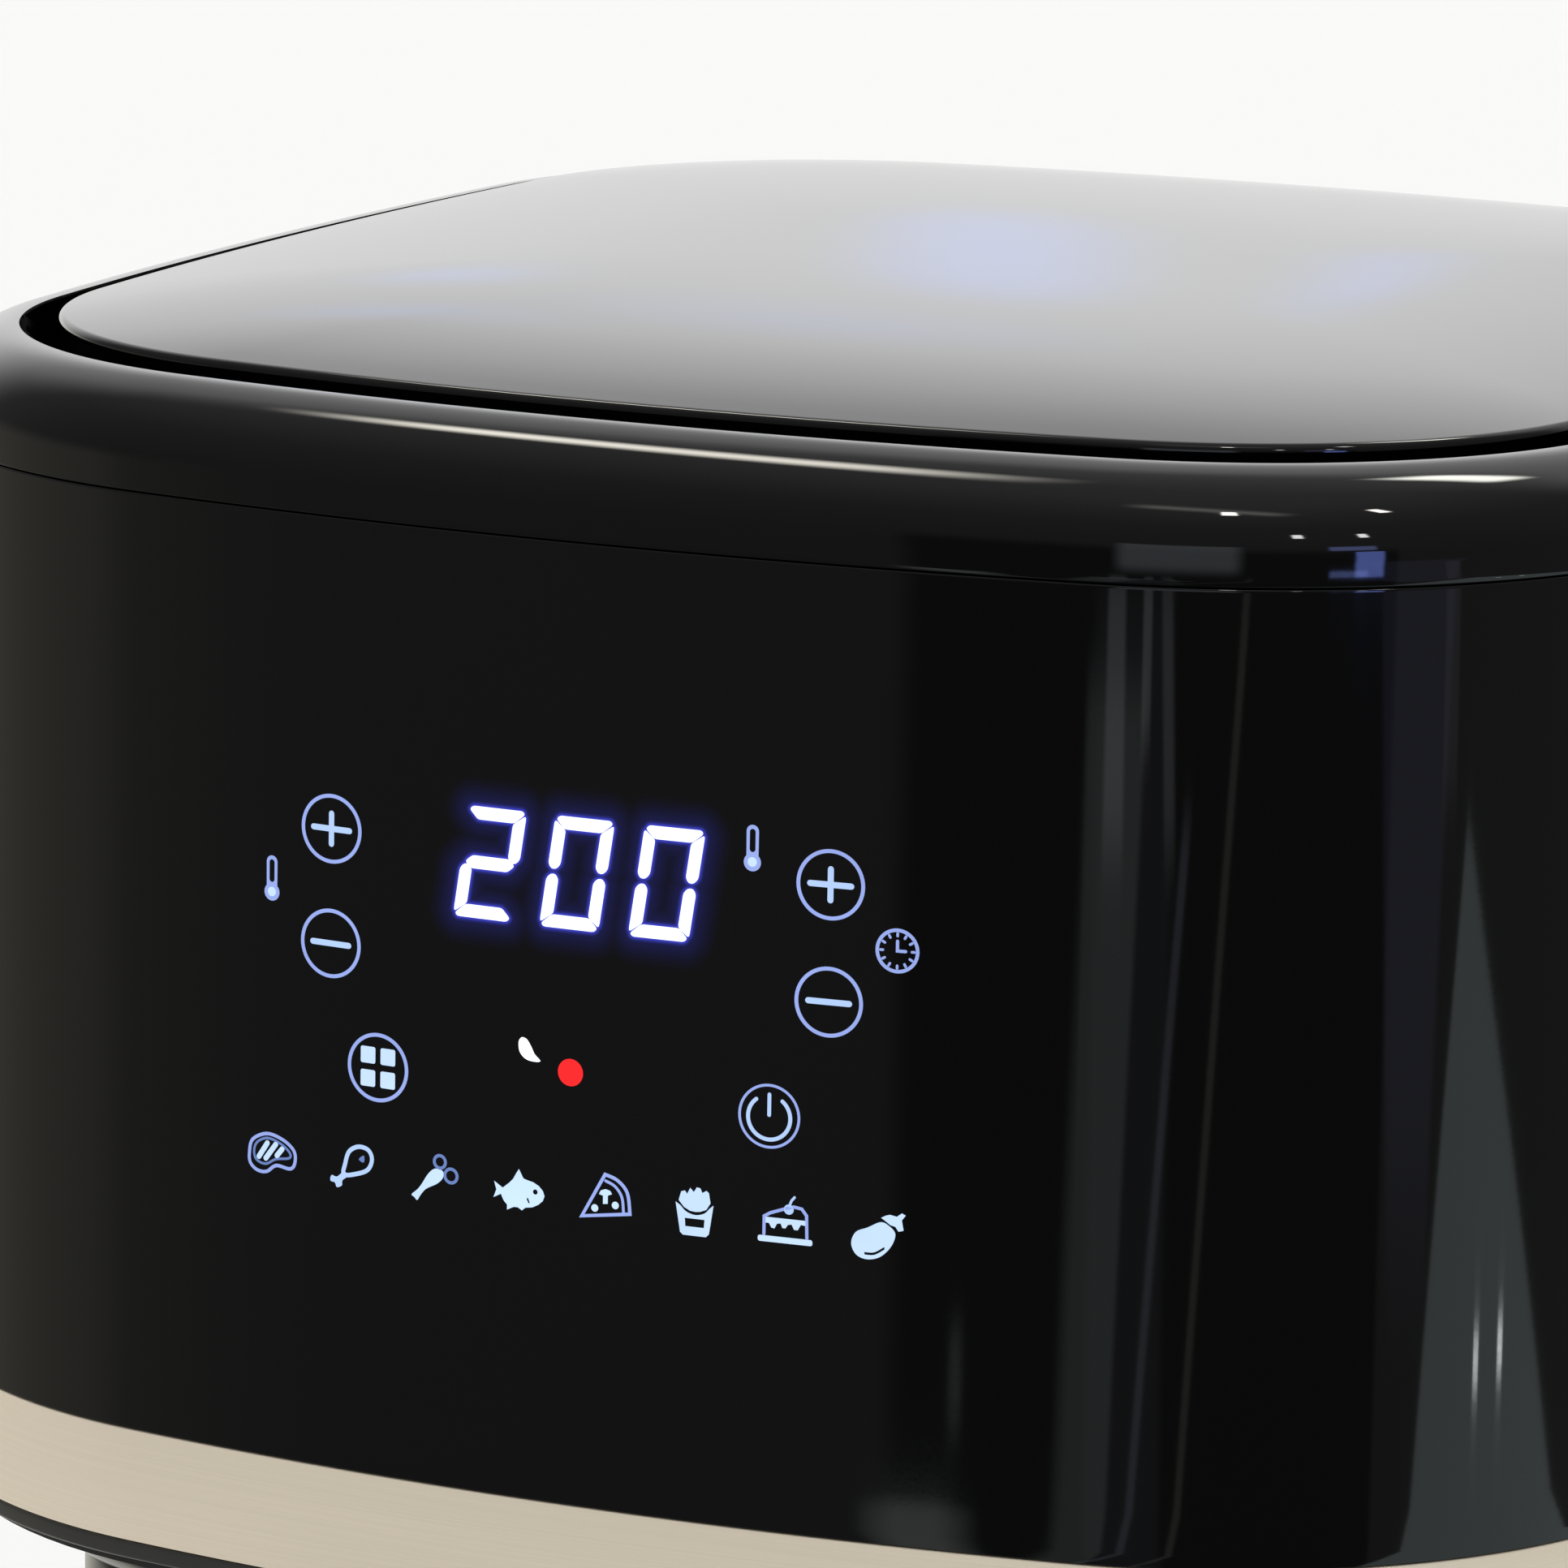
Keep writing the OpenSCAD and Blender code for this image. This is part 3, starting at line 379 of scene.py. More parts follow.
def rounded(w, d, r, n=14):
    right = pi / 2
    points = []
    for i, (sx, sy) in enumerate(((1, 1), (-1, 1), (-1, -1), (1, -1))):
        points += arc(sx * (w / 2 - r), sy * (d / 2 - r), r, i * right, (i + 1) * right, n, True)
    return points


def revolve(profile, centre, n=48):
    """A closed profile of (radius, height) turned about an upright axis."""
    rings = [[(centre[0] + r * cos(2 * pi * j / n),
               centre[1] + r * sin(2 * pi * j / n), z) for j in range(n)]
             for r, z in profile]
    return loft(rings, loop=True)


def merged(parts):
    verts, faces = [], []
    for v, f in parts:
        start = len(verts)
        verts += v
        faces += [tuple(i + start for i in face) for face in f]
    return verts, faces


# ---------- head ----------

z_face, z_band, wall = band_hi.z, band_lo.z, 3 * MM
edge, edge_line = 0.35 * MM, 0.15 * MM
taper_h, taper, TAPER_STEPS = 9 * MM, 0.04 * MM, 8
taper_rows = [(taper * (1 - i / TAPER_STEPS) ** 2, z_face + taper_h * i / TAPER_STEPS)
              for i in range(TAPER_STEPS + 1)]
shell_profile = ([(4 * MM, shell_lo.z), (1.2 * MM, shell_lo.z), (1.2 * MM, z_face + 0.1 * MM),
                  (taper + 0.25 * MM, z_face + 0.1 * MM)]
                 + [(taper + 0.03 * MM, z_face + 0.3 * MM)] + taper_rows[1:]
                 + [(0, Z_SEAM - 40 * MM), (0, Z_SEAM - edge - edge_line)]
                 + fillet((edge, Z_SEAM - edge), edge, 0, 90)
                 + [(wall, Z_SEAM), (wall, z_face), (4 * MM, z_face - 0.5 * MM)])
inlet_r = 6.6 * MM
inlet_hole = revolve([(0.01 * MM, 0), (inlet_r, 0), (inlet_r, 40 * MM), (0.01 * MM, 40 * MM)],
                     (0, 0), 40)
hole_cutter = plain("cutter", *inlet_hole)
hole_cutter.data.transform(Matrix.Translation((0, shell_hi.y - 20 * MM, (inlet_lo.z + inlet_hi.z) / 2))
                           @ Matrix.Rotation(-pi / 2, 4, "X"))


def rear_block(lo, hi, gap):
    """A box through the rear wall, wider than lo to hi by gap on each side."""
    return box_cutter((lo.x - gap, shell_hi.y - 20 * MM, lo.z - gap),
                      (hi.x + gap, shell_hi.y + 20 * MM, hi.z + gap))


cover_gap = 0.3 * MM
make("head_shell_skin", *sweep(shell_profile), looks["gloss_black"], "housing", "gloss_black",
     ["head_shell"], cutters=[rear_block(cover_lo, cover_hi, cover_gap)])
cover_profile = (fillet((taper + edge, cover_lo.z + edge), edge, -90, 0, 3)
                 + taper_rows[1:] + [(0, cover_hi.z - edge - edge_line)]
                 + fillet((edge, cover_hi.z - edge), edge, 0, 90, 3)
                 + [(wall, cover_hi.z), (wall, cover_lo.z)])
make("rear_cover_skin", *sweep(cover_profile), looks["gloss_black"], "housing", "gloss_black",
     ["rear_cover"], keep=rear_block(cover_lo, cover_hi, 0),
     cutters=[rear_block(grille_lo, grille_hi, 0.2 * MM), hole_cutter])

band_t, round_r = 1.2 * MM, 0.25 * MM
band_profile = (fillet((round_r, z_band + round_r), round_r, -90, 0, 3)
                + fillet((round_r, z_face - round_r), round_r, 0, 90, 3)
                + [(band_t, z_face), (band_t, z_band)])
make("band_skin", *sweep(band_profile), looks["band_steel"], "housing", "band_steel", ["steel_band"])

strip_profile = (fillet((1.2 * MM, strip_lo.z + 0.8 * MM), 0.8 * MM, -90, 0, 5)
                 + fillet((1.0 * MM, strip_hi.z - 0.6 * MM), 0.6 * MM, 0, 90, 4)
                 + [(4 * MM, strip_hi.z), (4 * MM, strip_lo.z)])
make("trim_strip_skin", *sweep(strip_profile), looks["dark_grey"], "housing", "dark_grey",
     ["trim_strip"])

z_ring, z_rim = Z_SEAM + 0.7 * MM, ring_hi.z
z_foot = Z_SEAM + edge_line
z_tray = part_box("intake_tray")[1].z
start, lip, ring_wall = 3 * MM, 1.5 * MM, 2.5 * MM
crest, rise = RIM_INSET - lip, z_rim - z_ring - start
shoulder = [(crest * (1 - cos(radians(90 * i / 30))),
             z_ring + start + rise * sin(radians(90 * i / 30))) for i in range(31)]
under = [(5.4 * MM + (crest - ring_wall - 5.4 * MM) * (1 - cos(radians(90 * i / 8))),
          z_ring + start + (rise - ring_wall) * sin(radians(90 * i / 8)))
         for i in range(8, -1, -1)]
ring_profile = ([(wall + 0.2 * MM, z_foot)]
                + fillet((0.3 * MM, z_foot + 0.3 * MM), 0.3 * MM, -90, 0, 4)
                + [(0, z_ring + 0.45 * MM)] + shoulder
                + fillet((RIM_INSET - lip, z_rim - lip), -lip, -90, -180, 8)[1:]
                + [(RIM_INSET, z_tray), (RIM_INSET - ring_wall, z_tray),
                   (RIM_INSET - ring_wall, z_rim - ring_wall - 3 * MM)]
                + under + [(5.4 * MM, z_tray), (wall + 0.2 * MM, z_tray)])
make("top_ring_skin", *sweep(ring_profile), looks["gloss_black"], "housing", "gloss_black",
     ["top_ring"])

# the lid: a rounded edge, then a dome whose level lines shrink towards the middle
z_edge, z_peak, lid_round = z_rim + 1.8 * MM, panel_hi.z, 1.3 * MM
lid_edge = [(PANEL_INSET + 1 * MM, panel_lo.z), (PANEL_INSET, panel_lo.z + 1 * MM),
            (PANEL_INSET, z_edge - lid_round)]
lid_edge += [(PANEL_INSET + lid_round * (1 - cos(radians(t))),
              z_edge - lid_round * (1 - sin(radians(t)))) for t in range(10, 80, 8)]
lid_rings = [at_level(outline(inset), z) for inset, z in lid_edge]
dome_foot = outline(PANEL_INSET + lid_round)
for i in range(40):
    s = 1 - i / 40
    lid_rings.append(at_level([(x * s, y * s) for x, y in dome_foot],
                              z_edge + (z_peak - z_edge) * (1 - s ** 4)))
make("lid_skin", *loft(lid_rings), looks["panel_black"], "housing", "panel_black", ["top_panel"],
     angle=60)

# ---------- lower body ----------

lower_inset = HALF_W - lower_hi.x
collar_inset = HALF_W - collar_hi.x
collar_wall = lower_inset + wall
bulge = [(lower_inset - (lower_inset - collar_inset) * sin(radians(90 * i / 18)),
          collar_hi.z - (collar_hi.z - collar_lo.z) * cos(radians(90 * i / 18)))
         for i in range(18)]
collar_profile = (bulge + fillet((collar_inset + 0.6 * MM, collar_hi.z - 0.6 * MM), 0.6 * MM, 0, 90, 4)
                  + [(collar_inset + 4 * MM, collar_hi.z), (collar_wall, collar_lo.z + 4 * MM),
                     (collar_wall, collar_lo.z)])
make("collar_skin", *sweep(collar_profile), looks["gloss_black"], "housing", "gloss_black",
     ["lower_collar"])

foot_edge = 1.5 * MM
lower_profile = (fillet((lower_inset + foot_edge, lower_lo.z + foot_edge), foot_edge, -90, 0)
                 + [(lower_inset, lower_lo.z + 8 * MM), (lower_inset, lower_hi.z - 4 * MM),
                    (lower_inset, lower_hi.z), (collar_wall, lower_hi.z),
                    (collar_wall, lower_lo.z)])
opening = box_cutter((front_lo.x - 0.6 * MM, BODY_Y - HALF_D, 0), (front_hi.x + 0.6 * MM, BODY_Y - 40 * MM,
                                                                 lower_hi.z + 9 * MM))
make("lower_housing_skin", *sweep(lower_profile), looks["gloss_black"], "housing", "gloss_black",
     ["lower_housing"], cutters=[opening])
BOSS_PLACES = ((-121.5, -60), (121.5, -60), (-105, 115), (105, 115))
boss_parts = []
for x, y in BOSS_PLACES:
    z = lower_lo.z
    boss_parts.append(revolve([(1.8 * MM, z), (4 * MM, z), (4 * MM, z + 43 * MM),
                               (2.6 * MM, z + 45 * MM), (1.8 * MM, z + 45 * MM)],
                              (x * MM, BODY_Y + y * MM), 28))
make("screw_bosses", *merged(boss_parts), looks["satin_black"], "housing", "gloss_black")

foot_parts = []
foot_r, foot_h = 11 * MM, feet_hi.z
for sx in (-1, 1):
    for sy in (-1, 1):
        centre = (sx * (feet_hi.x - foot_r), BODY_Y + sy * ((feet_hi.y - feet_lo.y) / 2 - foot_r))
        profile = [(3.2 * MM, 2 * MM), (3.2 * MM, 0.3 * MM), (3.5 * MM, 0), (foot_r - 1.6 * MM, 0),
                   (foot_r - 0.5 * MM, 0.4 * MM), (foot_r - 0.1 * MM, 1.4 * MM),
                   (foot_r, 3 * MM), (foot_r, foot_h), (0.01 * MM, foot_h), (0.01 * MM, 2 * MM)]
        foot_parts.append(revolve(profile, centre, 40))
make("feet_skin", *merged(foot_parts), looks["foot_rubber"], "housing", "foot_rubber",
     ["rubber_feet"])

# ---------- drawer ----------

drawer_inset = HALF_D - (BODY_Y - front_lo.y)
end_x = front_hi.x
end_phi = asin((end_x - CORNER_X) / (CORNER - drawer_inset))


def front_path(inset, turn=0.0):
    """The front part of the outline, left to right, out to the drawer front's ends."""
    last = end_phi - turn
    right = pi / 2
    half = (arc(0, HALF_D - FRONT_R, FRONT_R - inset, right, right - FRONT_BOW, 20)
            + arc(CORNER_X, CORNER_Y, CORNER - inset, right - FRONT_BOW, right - last, 22, True))
    return [(-x, -y) for x, y in reversed(half[1:])] + [(x, -y) for x, y in half]


def front_panel(z_lo, z_hi, r):
    """The drawer's curved front with a rounded edge all round: rows across, pulled in at each edge."""
    levels = [(0, z_lo + r), (0, z_hi - r)]
    lower = [(r * (1 - cos(radians(a))), z_lo + r - r * sin(radians(a)))
             for a in (90, 67.5, 45, 22.5)]
    upper = [(i, z_lo + z_hi - z) for i, z in reversed(lower)]
    profile = lower + levels + upper + [(wall, z_hi), (wall, z_lo)]
    paths = [at_level(front_path(drawer_inset + i), z) for i, z in profile]
    n = len(paths[0])
    for j in (0, n - 1):
        ahead = 1 if j == 0 else n - 2
        for path, (inset, _) in zip(paths, profile):
            if inset < r:
                way = Vector(path[ahead]) - Vector(path[j])
                way.z = 0
                path[j] = tuple(Vector(path[j]) + way.normalized() * (r - inset) * 0.4)
    verts = [p for path in paths for p in path]
    m = len(paths)
    faces = [(i * n + j, i * n + j + 1, (i + 1) % m * n + j + 1, (i + 1) % m * n + j)
             for i in range(m) for j in range(n - 1)]
    faces.append(tuple(i * n for i in range(m)))
    faces.append(tuple(i * n + n - 1 for i in reversed(range(m))))
    return verts, faces


make("drawer_front_skin", *front_panel(front_lo.z, front_hi.z, 1.4 * MM), looks["gloss_black"],
     "drawer", "gloss_black", ["drawer_front"])


def soft_outline(path, z_lo, z_hi, r, name, material, body, replaced=(), segments=5):
    """A solid with an upright side from a plan outline, its top and bottom edges rounded by r."""
    n = len(path)
    verts = [(x, y, z) for z in (z_lo, z_hi) for x, y in path]
    bm = bmesh.new()
    placed = [bm.verts.new(v) for v in verts]
    foot = bm.faces.new(list(reversed(placed[:n])))
    top = bm.faces.new(placed[n:])
    for j in range(n):
        k = (j + 1) % n
        bm.faces.new((placed[j], placed[k], placed[n + k], placed[n + j]))
    bmesh.ops.bevel(bm, geom=list(foot.edges) + list(top.edges), offset=r, segments=segments,
                    profile=0.5, affect="EDGES", clamp_overlap=True)
    bmesh.ops.recalc_face_normals(bm, faces=bm.faces)
    obj = from_bmesh(bm, name)
    finish_piece(obj, material, body, replaced)
    return obj


# the handle: a bar on two arms, one smooth loop in plan
bar_w, bar_d, arm_w = grip_hi.x - grip_lo.x, 20 * MM, 16 * MM
bar_front = grip_lo.y
bar_back = bar_front + bar_d
right = pi / 2
outer_r, inner_r = 12 * MM, 8 * MM
face_y = BODY_Y + FRONT_R - HALF_D - sqrt((FRONT_R - drawer_inset) ** 2
                                               - (bar_w / 2 - arm_w / 2) ** 2) + 0.3 * MM
half_bar = bar_w / 2
plan = (arc(half_bar - outer_r, bar_front + outer_r, outer_r, -right, 0, 10, True)
        + [(half_bar, face_y)]
        + [(half_bar - arm_w, face_y - 0.9 * MM)]
        + arc(half_bar - arm_w - inner_r, bar_back + inner_r, inner_r, 0, -right, 8, True))
plan += [(-x, y) for x, y in reversed(plan)]
soft_outline(plan, grip_lo.z, grip_hi.z, 4 * MM, "handle_skin", looks["satin_black"], "drawer",
             ["handle"])
inlay_r = 3 * MM
inlay_plan = [((inlay_lo.x + inlay_hi.x) / 2 + x, (inlay_lo.z + inlay_hi.z) / 2 + y)
              for x, y in rounded(inlay_hi.x - inlay_lo.x, inlay_hi.z - inlay_lo.z, inlay_r, 8)]
inlay = soft_outline(inlay_plan, 0, 1.1 * MM, 0.35 * MM, "inlay_skin", looks["inlay_steel"],
                     "drawer", ["handle_inlay"], 3)
inlay.data.transform(Matrix.Translation((0, grip_lo.y + 1.1 * MM, 0))
                     @ Matrix.Rotation(pi / 2, 4, "X"))

# the pot: rounded foot, rolled rim, thin wall
pot_t, pot_r, rim_w, rim_t = 1.6 * MM, 45 * MM, 5.5 * MM, 2 * MM
pot_w, pot_d = pot_hi.x - pot_lo.x - 2 * rim_w, pot_hi.y - pot_lo.y - 2 * rim_w
foot_fillet = 12 * MM


def pot_ring(inset, z):
    return at_level(rounded(pot_w - 2 * inset, pot_d - 2 * inset, pot_r - inset), z)


angles = [radians(a) for a in range(0, 91, 10)]
pot_rows = [(foot_fillet * (1 - sin(a)), pot_lo.z + foot_fillet * (1 - cos(a)))
            for a in angles]
pot_rows += [(0, pot_hi.z - rim_t - 1 * MM), (-0.4 * MM, pot_hi.z - rim_t)]
pot_rows += [(-rim_w + rim_t / 2 - rim_t / 2 * sin(a), pot_hi.z - rim_t / 2
              - rim_t / 2 * cos(a)) for a in angles]
pot_rows += [(-rim_w + rim_t / 2 - rim_t / 2 * cos(a), pot_hi.z - rim_t / 2
              + rim_t / 2 * sin(a)) for a in angles[1:]]
pot_rows += [(0, pot_hi.z), (pot_t * 0.6, pot_hi.z - 0.3 * MM), (pot_t, pot_hi.z - 1.2 * MM)]
inner_fillet = foot_fillet - pot_t
pot_rows += [(pot_t + inner_fillet * (1 - cos(a)), pot_lo.z + pot_t + inner_fillet
              * (1 - sin(a))) for a in angles]
make("pot_skin", *loft([pot_ring(i, z) for i, z in pot_rows]), looks["non_stick"], "drawer",
     "non_stick", ["drawer_pot"])

# ---------- lit symbols on the front, in millimetres from the middle and below the seam ----------

SYMBOL_DEPTH = 0.3 * MM
SYMBOL_PROUD, DROP_PROUD, DIGIT_PROUD = 0.03 * MM, 0.06 * MM, 0.08 * MM


def front_y(x):
    return BODY_Y + FRONT_R - HALF_D - sqrt(FRONT_R ** 2 - x ** 2)


def smooth_loop(points, closed=True, steps=5):
    """Catmull-Rom curve through the points."""
    n, made = len(points), []
    for i in range(n if closed else n - 1):
        p = [points[(i + k) % n] if closed else points[min(max(i + k, 0), n - 1)]
             for k in (-1, 0, 1, 2)]
        for s in range(steps):
            t = s / steps
            made.append(tuple(0.5 * (2 * p[1][a] + (p[2][a] - p[0][a]) * t
                                     + (2 * p[0][a] - 5 * p[1][a] + 4 * p[2][a] - p[3][a]) * t * t
                                     + (3 * p[1][a] - p[0][a] - 3 * p[2][a] + p[3][a]) * t ** 3)
                              for a in (0, 1)))
    if not closed:
        made.append(points[-1])
    return made


def circle(cx, cy, r, n=40, start=0.0, end=360.0):
    whole = abs(end - start) >= 360
    count = n if whole else n + 1
    return [(cx + r * cos(radians(start + (end - start) * i / n)),
             cy + r * sin(radians(start + (end - start) * i / n))) for i in range(count)]


def stroke(points, width, closed=False):
    """Faces of a line of that width: (vertices, faces) in the plane."""
    pts = [Vector(p) for p in points]
    n, half, verts, faces = len(pts), width / 2, [], []
    for i, p in enumerate(pts):
        before = pts[i - 1] if closed or i else p
        after = pts[(i + 1) % n] if closed or i < n - 1 else p
        a = (p - before).normalized() if (p - before).length > 1e-9 else (after - p).normalized()
        b = (after - p).normalized() if (after - p).length > 1e-9 else a
        way = (a + b).normalized() if (a + b).length > 1e-6 else b
        side = Vector((-way.y, way.x))
        reach = half / max(0.5, side.dot(Vector((-a.y, a.x))))
        verts += [p + side * reach, p - side * reach]
    for i in range(n if closed else n - 1):
        k = (i + 1) % n
        faces.append((2 * i, 2 * i + 1, 2 * k + 1, 2 * k))
    if not closed:
        for i, way in ((0, pts[0] - pts[1]), (n - 1, pts[-1] - pts[-2])):
            turn = atan2(way.y, way.x)
            fan = [len(verts) + k for k in range(5)]
            verts += [pts[i] + Vector((cos(turn + a), sin(turn + a))) * half
                      for a in (radians(d) for d in (60, 30, 0, -30, -60))]
            faces.append((2 * i, *fan, 2 * i + 1) if i else (2 * i + 1, *fan, 2 * i))
    return [tuple(v) for v in verts], faces


def fill(outer, holes=()):
    loops = [list(outer)] + [list(h) for h in holes]
    verts = [p for loop in loops for p in loop]
    faces = tessellate_polygon([[Vector((x, y, 0)) for x, y in loop] for loop in loops])
    return verts, [tuple(f) for f in faces]


def symbol(name, centre, parts, material, proud=SYMBOL_PROUD):
    """A thin solid in the front skin from plane shapes, following the bowed face."""
    verts, faces = merged(parts)
    bm = bmesh.new()
    cx, cz = centre
    placed = []
    for u, v in verts:
        x = (cx + u) * MM
        placed.append(bm.verts.new((x, front_y(x) - proud, Z_SEAM + (cz + v) * MM)))
    for face in faces:
        if len(set(face)) > 2:
            try:
                bm.faces.new([placed[i] for i in face])
            except ValueError:
                pass
    for face in bm.faces:
        face.normal_update()
        if face.normal.y > 0:
            face.normal_flip()
    front = list(bm.faces)
    made = bmesh.ops.extrude_face_region(bm, geom=front, use_keep_orig=True)
    moved = [e for e in made["geom"] if isinstance(e, bmesh.types.BMVert)]
    bmesh.ops.translate(bm, verts=moved, vec=(0, SYMBOL_DEPTH, 0))
    for face in made["geom"]:
        if isinstance(face, bmesh.types.BMFace):
            face.normal_flip()
    loose = [v for v in bm.verts if not v.link_faces]
    bmesh.ops.delete(bm, geom=loose, context="VERTS")
    obj = from_bmesh(bm, name)
    obj.data.materials.append(material)
    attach(obj, "housing")
    return obj


RING, BAR = 0.6, 0.95
button_ring = stroke(circle(0, 0, 5.2, 56), RING, True)
for label, x, z in (("left", -42.7, -49), ("right", 42.7, -49)):
    symbol(f"plus_ring_{label}", (x, z), [button_ring], line_light)
    symbol(f"plus_{label}", (x, z), [stroke([(-3.3, 0), (3.3, 0)], BAR),
                                     stroke([(0, 0.5), (0, 2.4)], BAR),
                                     stroke([(0, -0.5), (0, -2.4)], BAR)], bar_light)
for label, x, z in (("left", -42.7, -67.2), ("right", 42.7, -67.2)):
    symbol(f"minus_ring_{label}", (x, z), [button_ring], line_light)
    symbol(f"minus_{label}", (x, z), [stroke([(-3.3, 0), (3.3, 0)], BAR)], bar_light)

menu = (-33.9, -85.9)
symbol("menu_ring", menu, [button_ring], line_light)
square = rounded(2.65, 2.65, 0.3, 3)
symbol("menu_squares", menu, [fill([(x + sx * 1.8, y + sy * 1.85) for x, y in square])
                              for sx in (-1, 1) for sy in (-1, 1)], fill_light)

power = (33.4, -85.9)
symbol("power_ring", power, [stroke(circle(0, 0, 4.85, 56), 0.42, True)], line_light)
symbol("power_mark", power, [stroke(circle(0, -0.2, 3.45, 44, 128, 412), 0.62),
                             stroke([(0, 0.2), (0, 3.4)], 0.6)], bar_light)

# thermometers: a tube with a dark slot in its upper half, and a bulb
tube = [(-0.98, -1.2)] + circle(0, -2.25, 1.4, 26, 135, 405) + [(0.98, -1.2)] \
    + circle(0, 2.55, 1.0, 12, 0, 180)
slot_hole = circle(0, 2.45, 0.48, 10, 0, 180) + circle(0, -0.2, 0.48, 10, 180, 360)
for label, x, z in (("left", -53.7, -58.1), ("right", 30.0, -44.4)):
    symbol(f"thermometer_{label}", (x, z), [fill(tube, [slot_hole])], line_light)
    symbol(f"thermometer_drop_{label}", (x, z - 2.2), [fill(circle(0, 0, 0.75, 20))], fill_light,
           proud=DROP_PROUD)

clock = (53.5, -58.3)
symbol("clock", clock,
       [stroke(circle(0, 0, 3.2, 44), 0.55, True), stroke([(0, 1.5), (0, 0), (1.3, 0)], 0.5)]
       + [stroke([(2.3 * cos(a), 2.3 * sin(a)), (2.7 * cos(a), 2.7 * sin(a))],
                 0.4) for a in (radians(30 * i) for i in range(12))], line_light)

blade = smooth_loop([(-1.7, 1.0), (-1.2, 1.8), (-0.3, 1.6), (0.5, 0.5), (1.1, -0.6), (2.1, -1.6),
                     (0.9, -1.8), (-0.5, -1.5), (-1.5, -0.5)])
symbol("fan_blade_mark", (-7.2, -79.8), [fill(blade)], looks["display_white"])
symbol("status_lamp", (0.1, -82.6), [fill(circle(0, 0, 2.15, 40))], red_light)

# three slanted seven-segment digits, each segment with round ends, in a blue fringe and a halo
DIGIT_H, DIGIT_W, BAR_T, SLANT = 17.6, 10.1, 2.05, 0.15
Z_DIGITS = -51.3
digits = ((-14.25, "abged"), (0.8, "abcdef"), (15.95, "abcdef"))


def slanted(points):
    return [(x + SLANT * y, y) for x, y in points]


def segment(which):
    """One lit bar with pointed, rounded ends."""
    h, w, t = DIGIT_H / 2, DIGIT_W / 2, BAR_T
    across = [(-w + 0.7, h), (w - 0.7, h), (w - 0.25, h - 0.55), (w - t + 0.15, h - t),
              (-w + t - 0.15, h - t), (-w + 0.25, h - 0.55)]
    middle = [(-w + 0.75, 0), (-w + 1.85, t / 2), (w - 1.85, t / 2), (w - 0.75, 0),
              (w - 1.85, -t / 2), (-w + 1.85, -t / 2)]
    side = [(w - 0.12, h - 0.75), (w, h - 1.2), (w, 1.2), (w - 0.6, 0.4), (w - t + 0.6, 0.4),
            (w - t, 1.2), (w - t, h - t - 0.15)]
    shapes = {"a": across, "d": [(x, -y) for x, y in across], "g": middle, "b": side,
              "f": [(-x, y) for x, y in side], "c": [(x, -y) for x, y in side],
              "e": [(-x, -y) for x, y in side]}
    return slanted(round_corners(shapes[which], 0.4))


def round_corners(points, r):
    """The polygon with each corner cut by a short curve."""
    n, made = len(points), []
    for i in range(n):
        here = Vector(points[i])
        before, after = Vector(points[i - 1]) - here, Vector(points[(i + 1) % n]) - here
        a = here + before.normalized() * min(r, before.length / 2)
        b = here + after.normalized() * min(r, after.length / 2)
        made += [tuple(a), tuple((a + b) / 4 + here / 2), tuple(b)]
    return made


def distance_to(shape, x, y):
    """How far a point lies outside a convex polygon."""
    n, best, inside = len(shape), 1e9, True
    turn = 0
    for i in range(n):
        ax, ay = shape[i]
        bx, by = shape[(i + 1) % n]
        ex, ey = bx - ax, by - ay
        side = ex * (y - ay) - ey * (x - ax)
        if side * turn < 0:
            inside = False
        turn = turn or side
        t = max(0.0, min(1.0, ((x - ax) * ex + (y - ay) * ey) / max(1e-9, ex * ex + ey * ey)))
        best = min(best, hypot(x - ax - t * ex, y - ay - t * ey))
    return 0.0 if inside else best


lit_shapes = []
for place, (x, lit) in enumerate(digits):
    shapes = [segment(s) for s in lit]
    lit_shapes += [[(x + u, v) for u, v in shape] for shape in shapes]
    symbol(f"digit_{place + 1}", (x, Z_DIGITS), [fill(shape) for shape in shapes],
           looks["display_white"], proud=DIGIT_PROUD)

# the halo: a fine skin whose glow fades with the distance to the lit bars
HALO_STEP, HALO_REACH, FRINGE_REACH = 0.3, 5.2, 0.8
halo_w = round((max(x for shape in lit_shapes for x, _ in shape) + HALO_REACH) / HALO_STEP)
halo_l = round((min(x for shape in lit_shapes for x, _ in shape) - HALO_REACH) / HALO_STEP)
halo_h = round((DIGIT_H / 2 + HALO_REACH) / HALO_STEP)
halo_verts, halo_levels = [], []
for j in range(-halo_h, halo_h + 1):
    for i in range(halo_l, halo_w + 1):
        u, v = i * HALO_STEP, j * HALO_STEP
        x = u * MM
        near = [shape for shape in lit_shapes
                if min(abs(px - u) for px, _ in shape) < 7 or shape[0][0] < u < shape[2][0]]
        gap = min([distance_to(shape, u, v) for shape in near], default=HALO_REACH)
        fringe = max(0.0, 1 - gap / FRINGE_REACH) ** 2
        haze = max(0.0, 1 - gap / HALO_REACH) ** 2
        halo_levels.append((fringe, haze))
        halo_verts.append((x, front_y(x) - SYMBOL_PROUD / 3, Z_SEAM + (Z_DIGITS + v) * MM))
across = halo_w - halo_l + 1
front_count = len(halo_verts)
halo_verts += [(x, y + SYMBOL_DEPTH, z) for x, y, z in halo_verts]
halo_faces = []
for j in range(2 * halo_h):
    for i in range(across - 1):
        a = j * across + i
        halo_faces.append((a, a + 1, a + across + 1, a + across))
rim = list(range(across)) + [across * (k + 2) - 1 for k in range(2 * halo_h)]
rim += [front_count - 2 - k for k in range(across - 1)]
rim += [across * (2 * halo_h - 1 - k) for k in range(2 * halo_h - 1)]
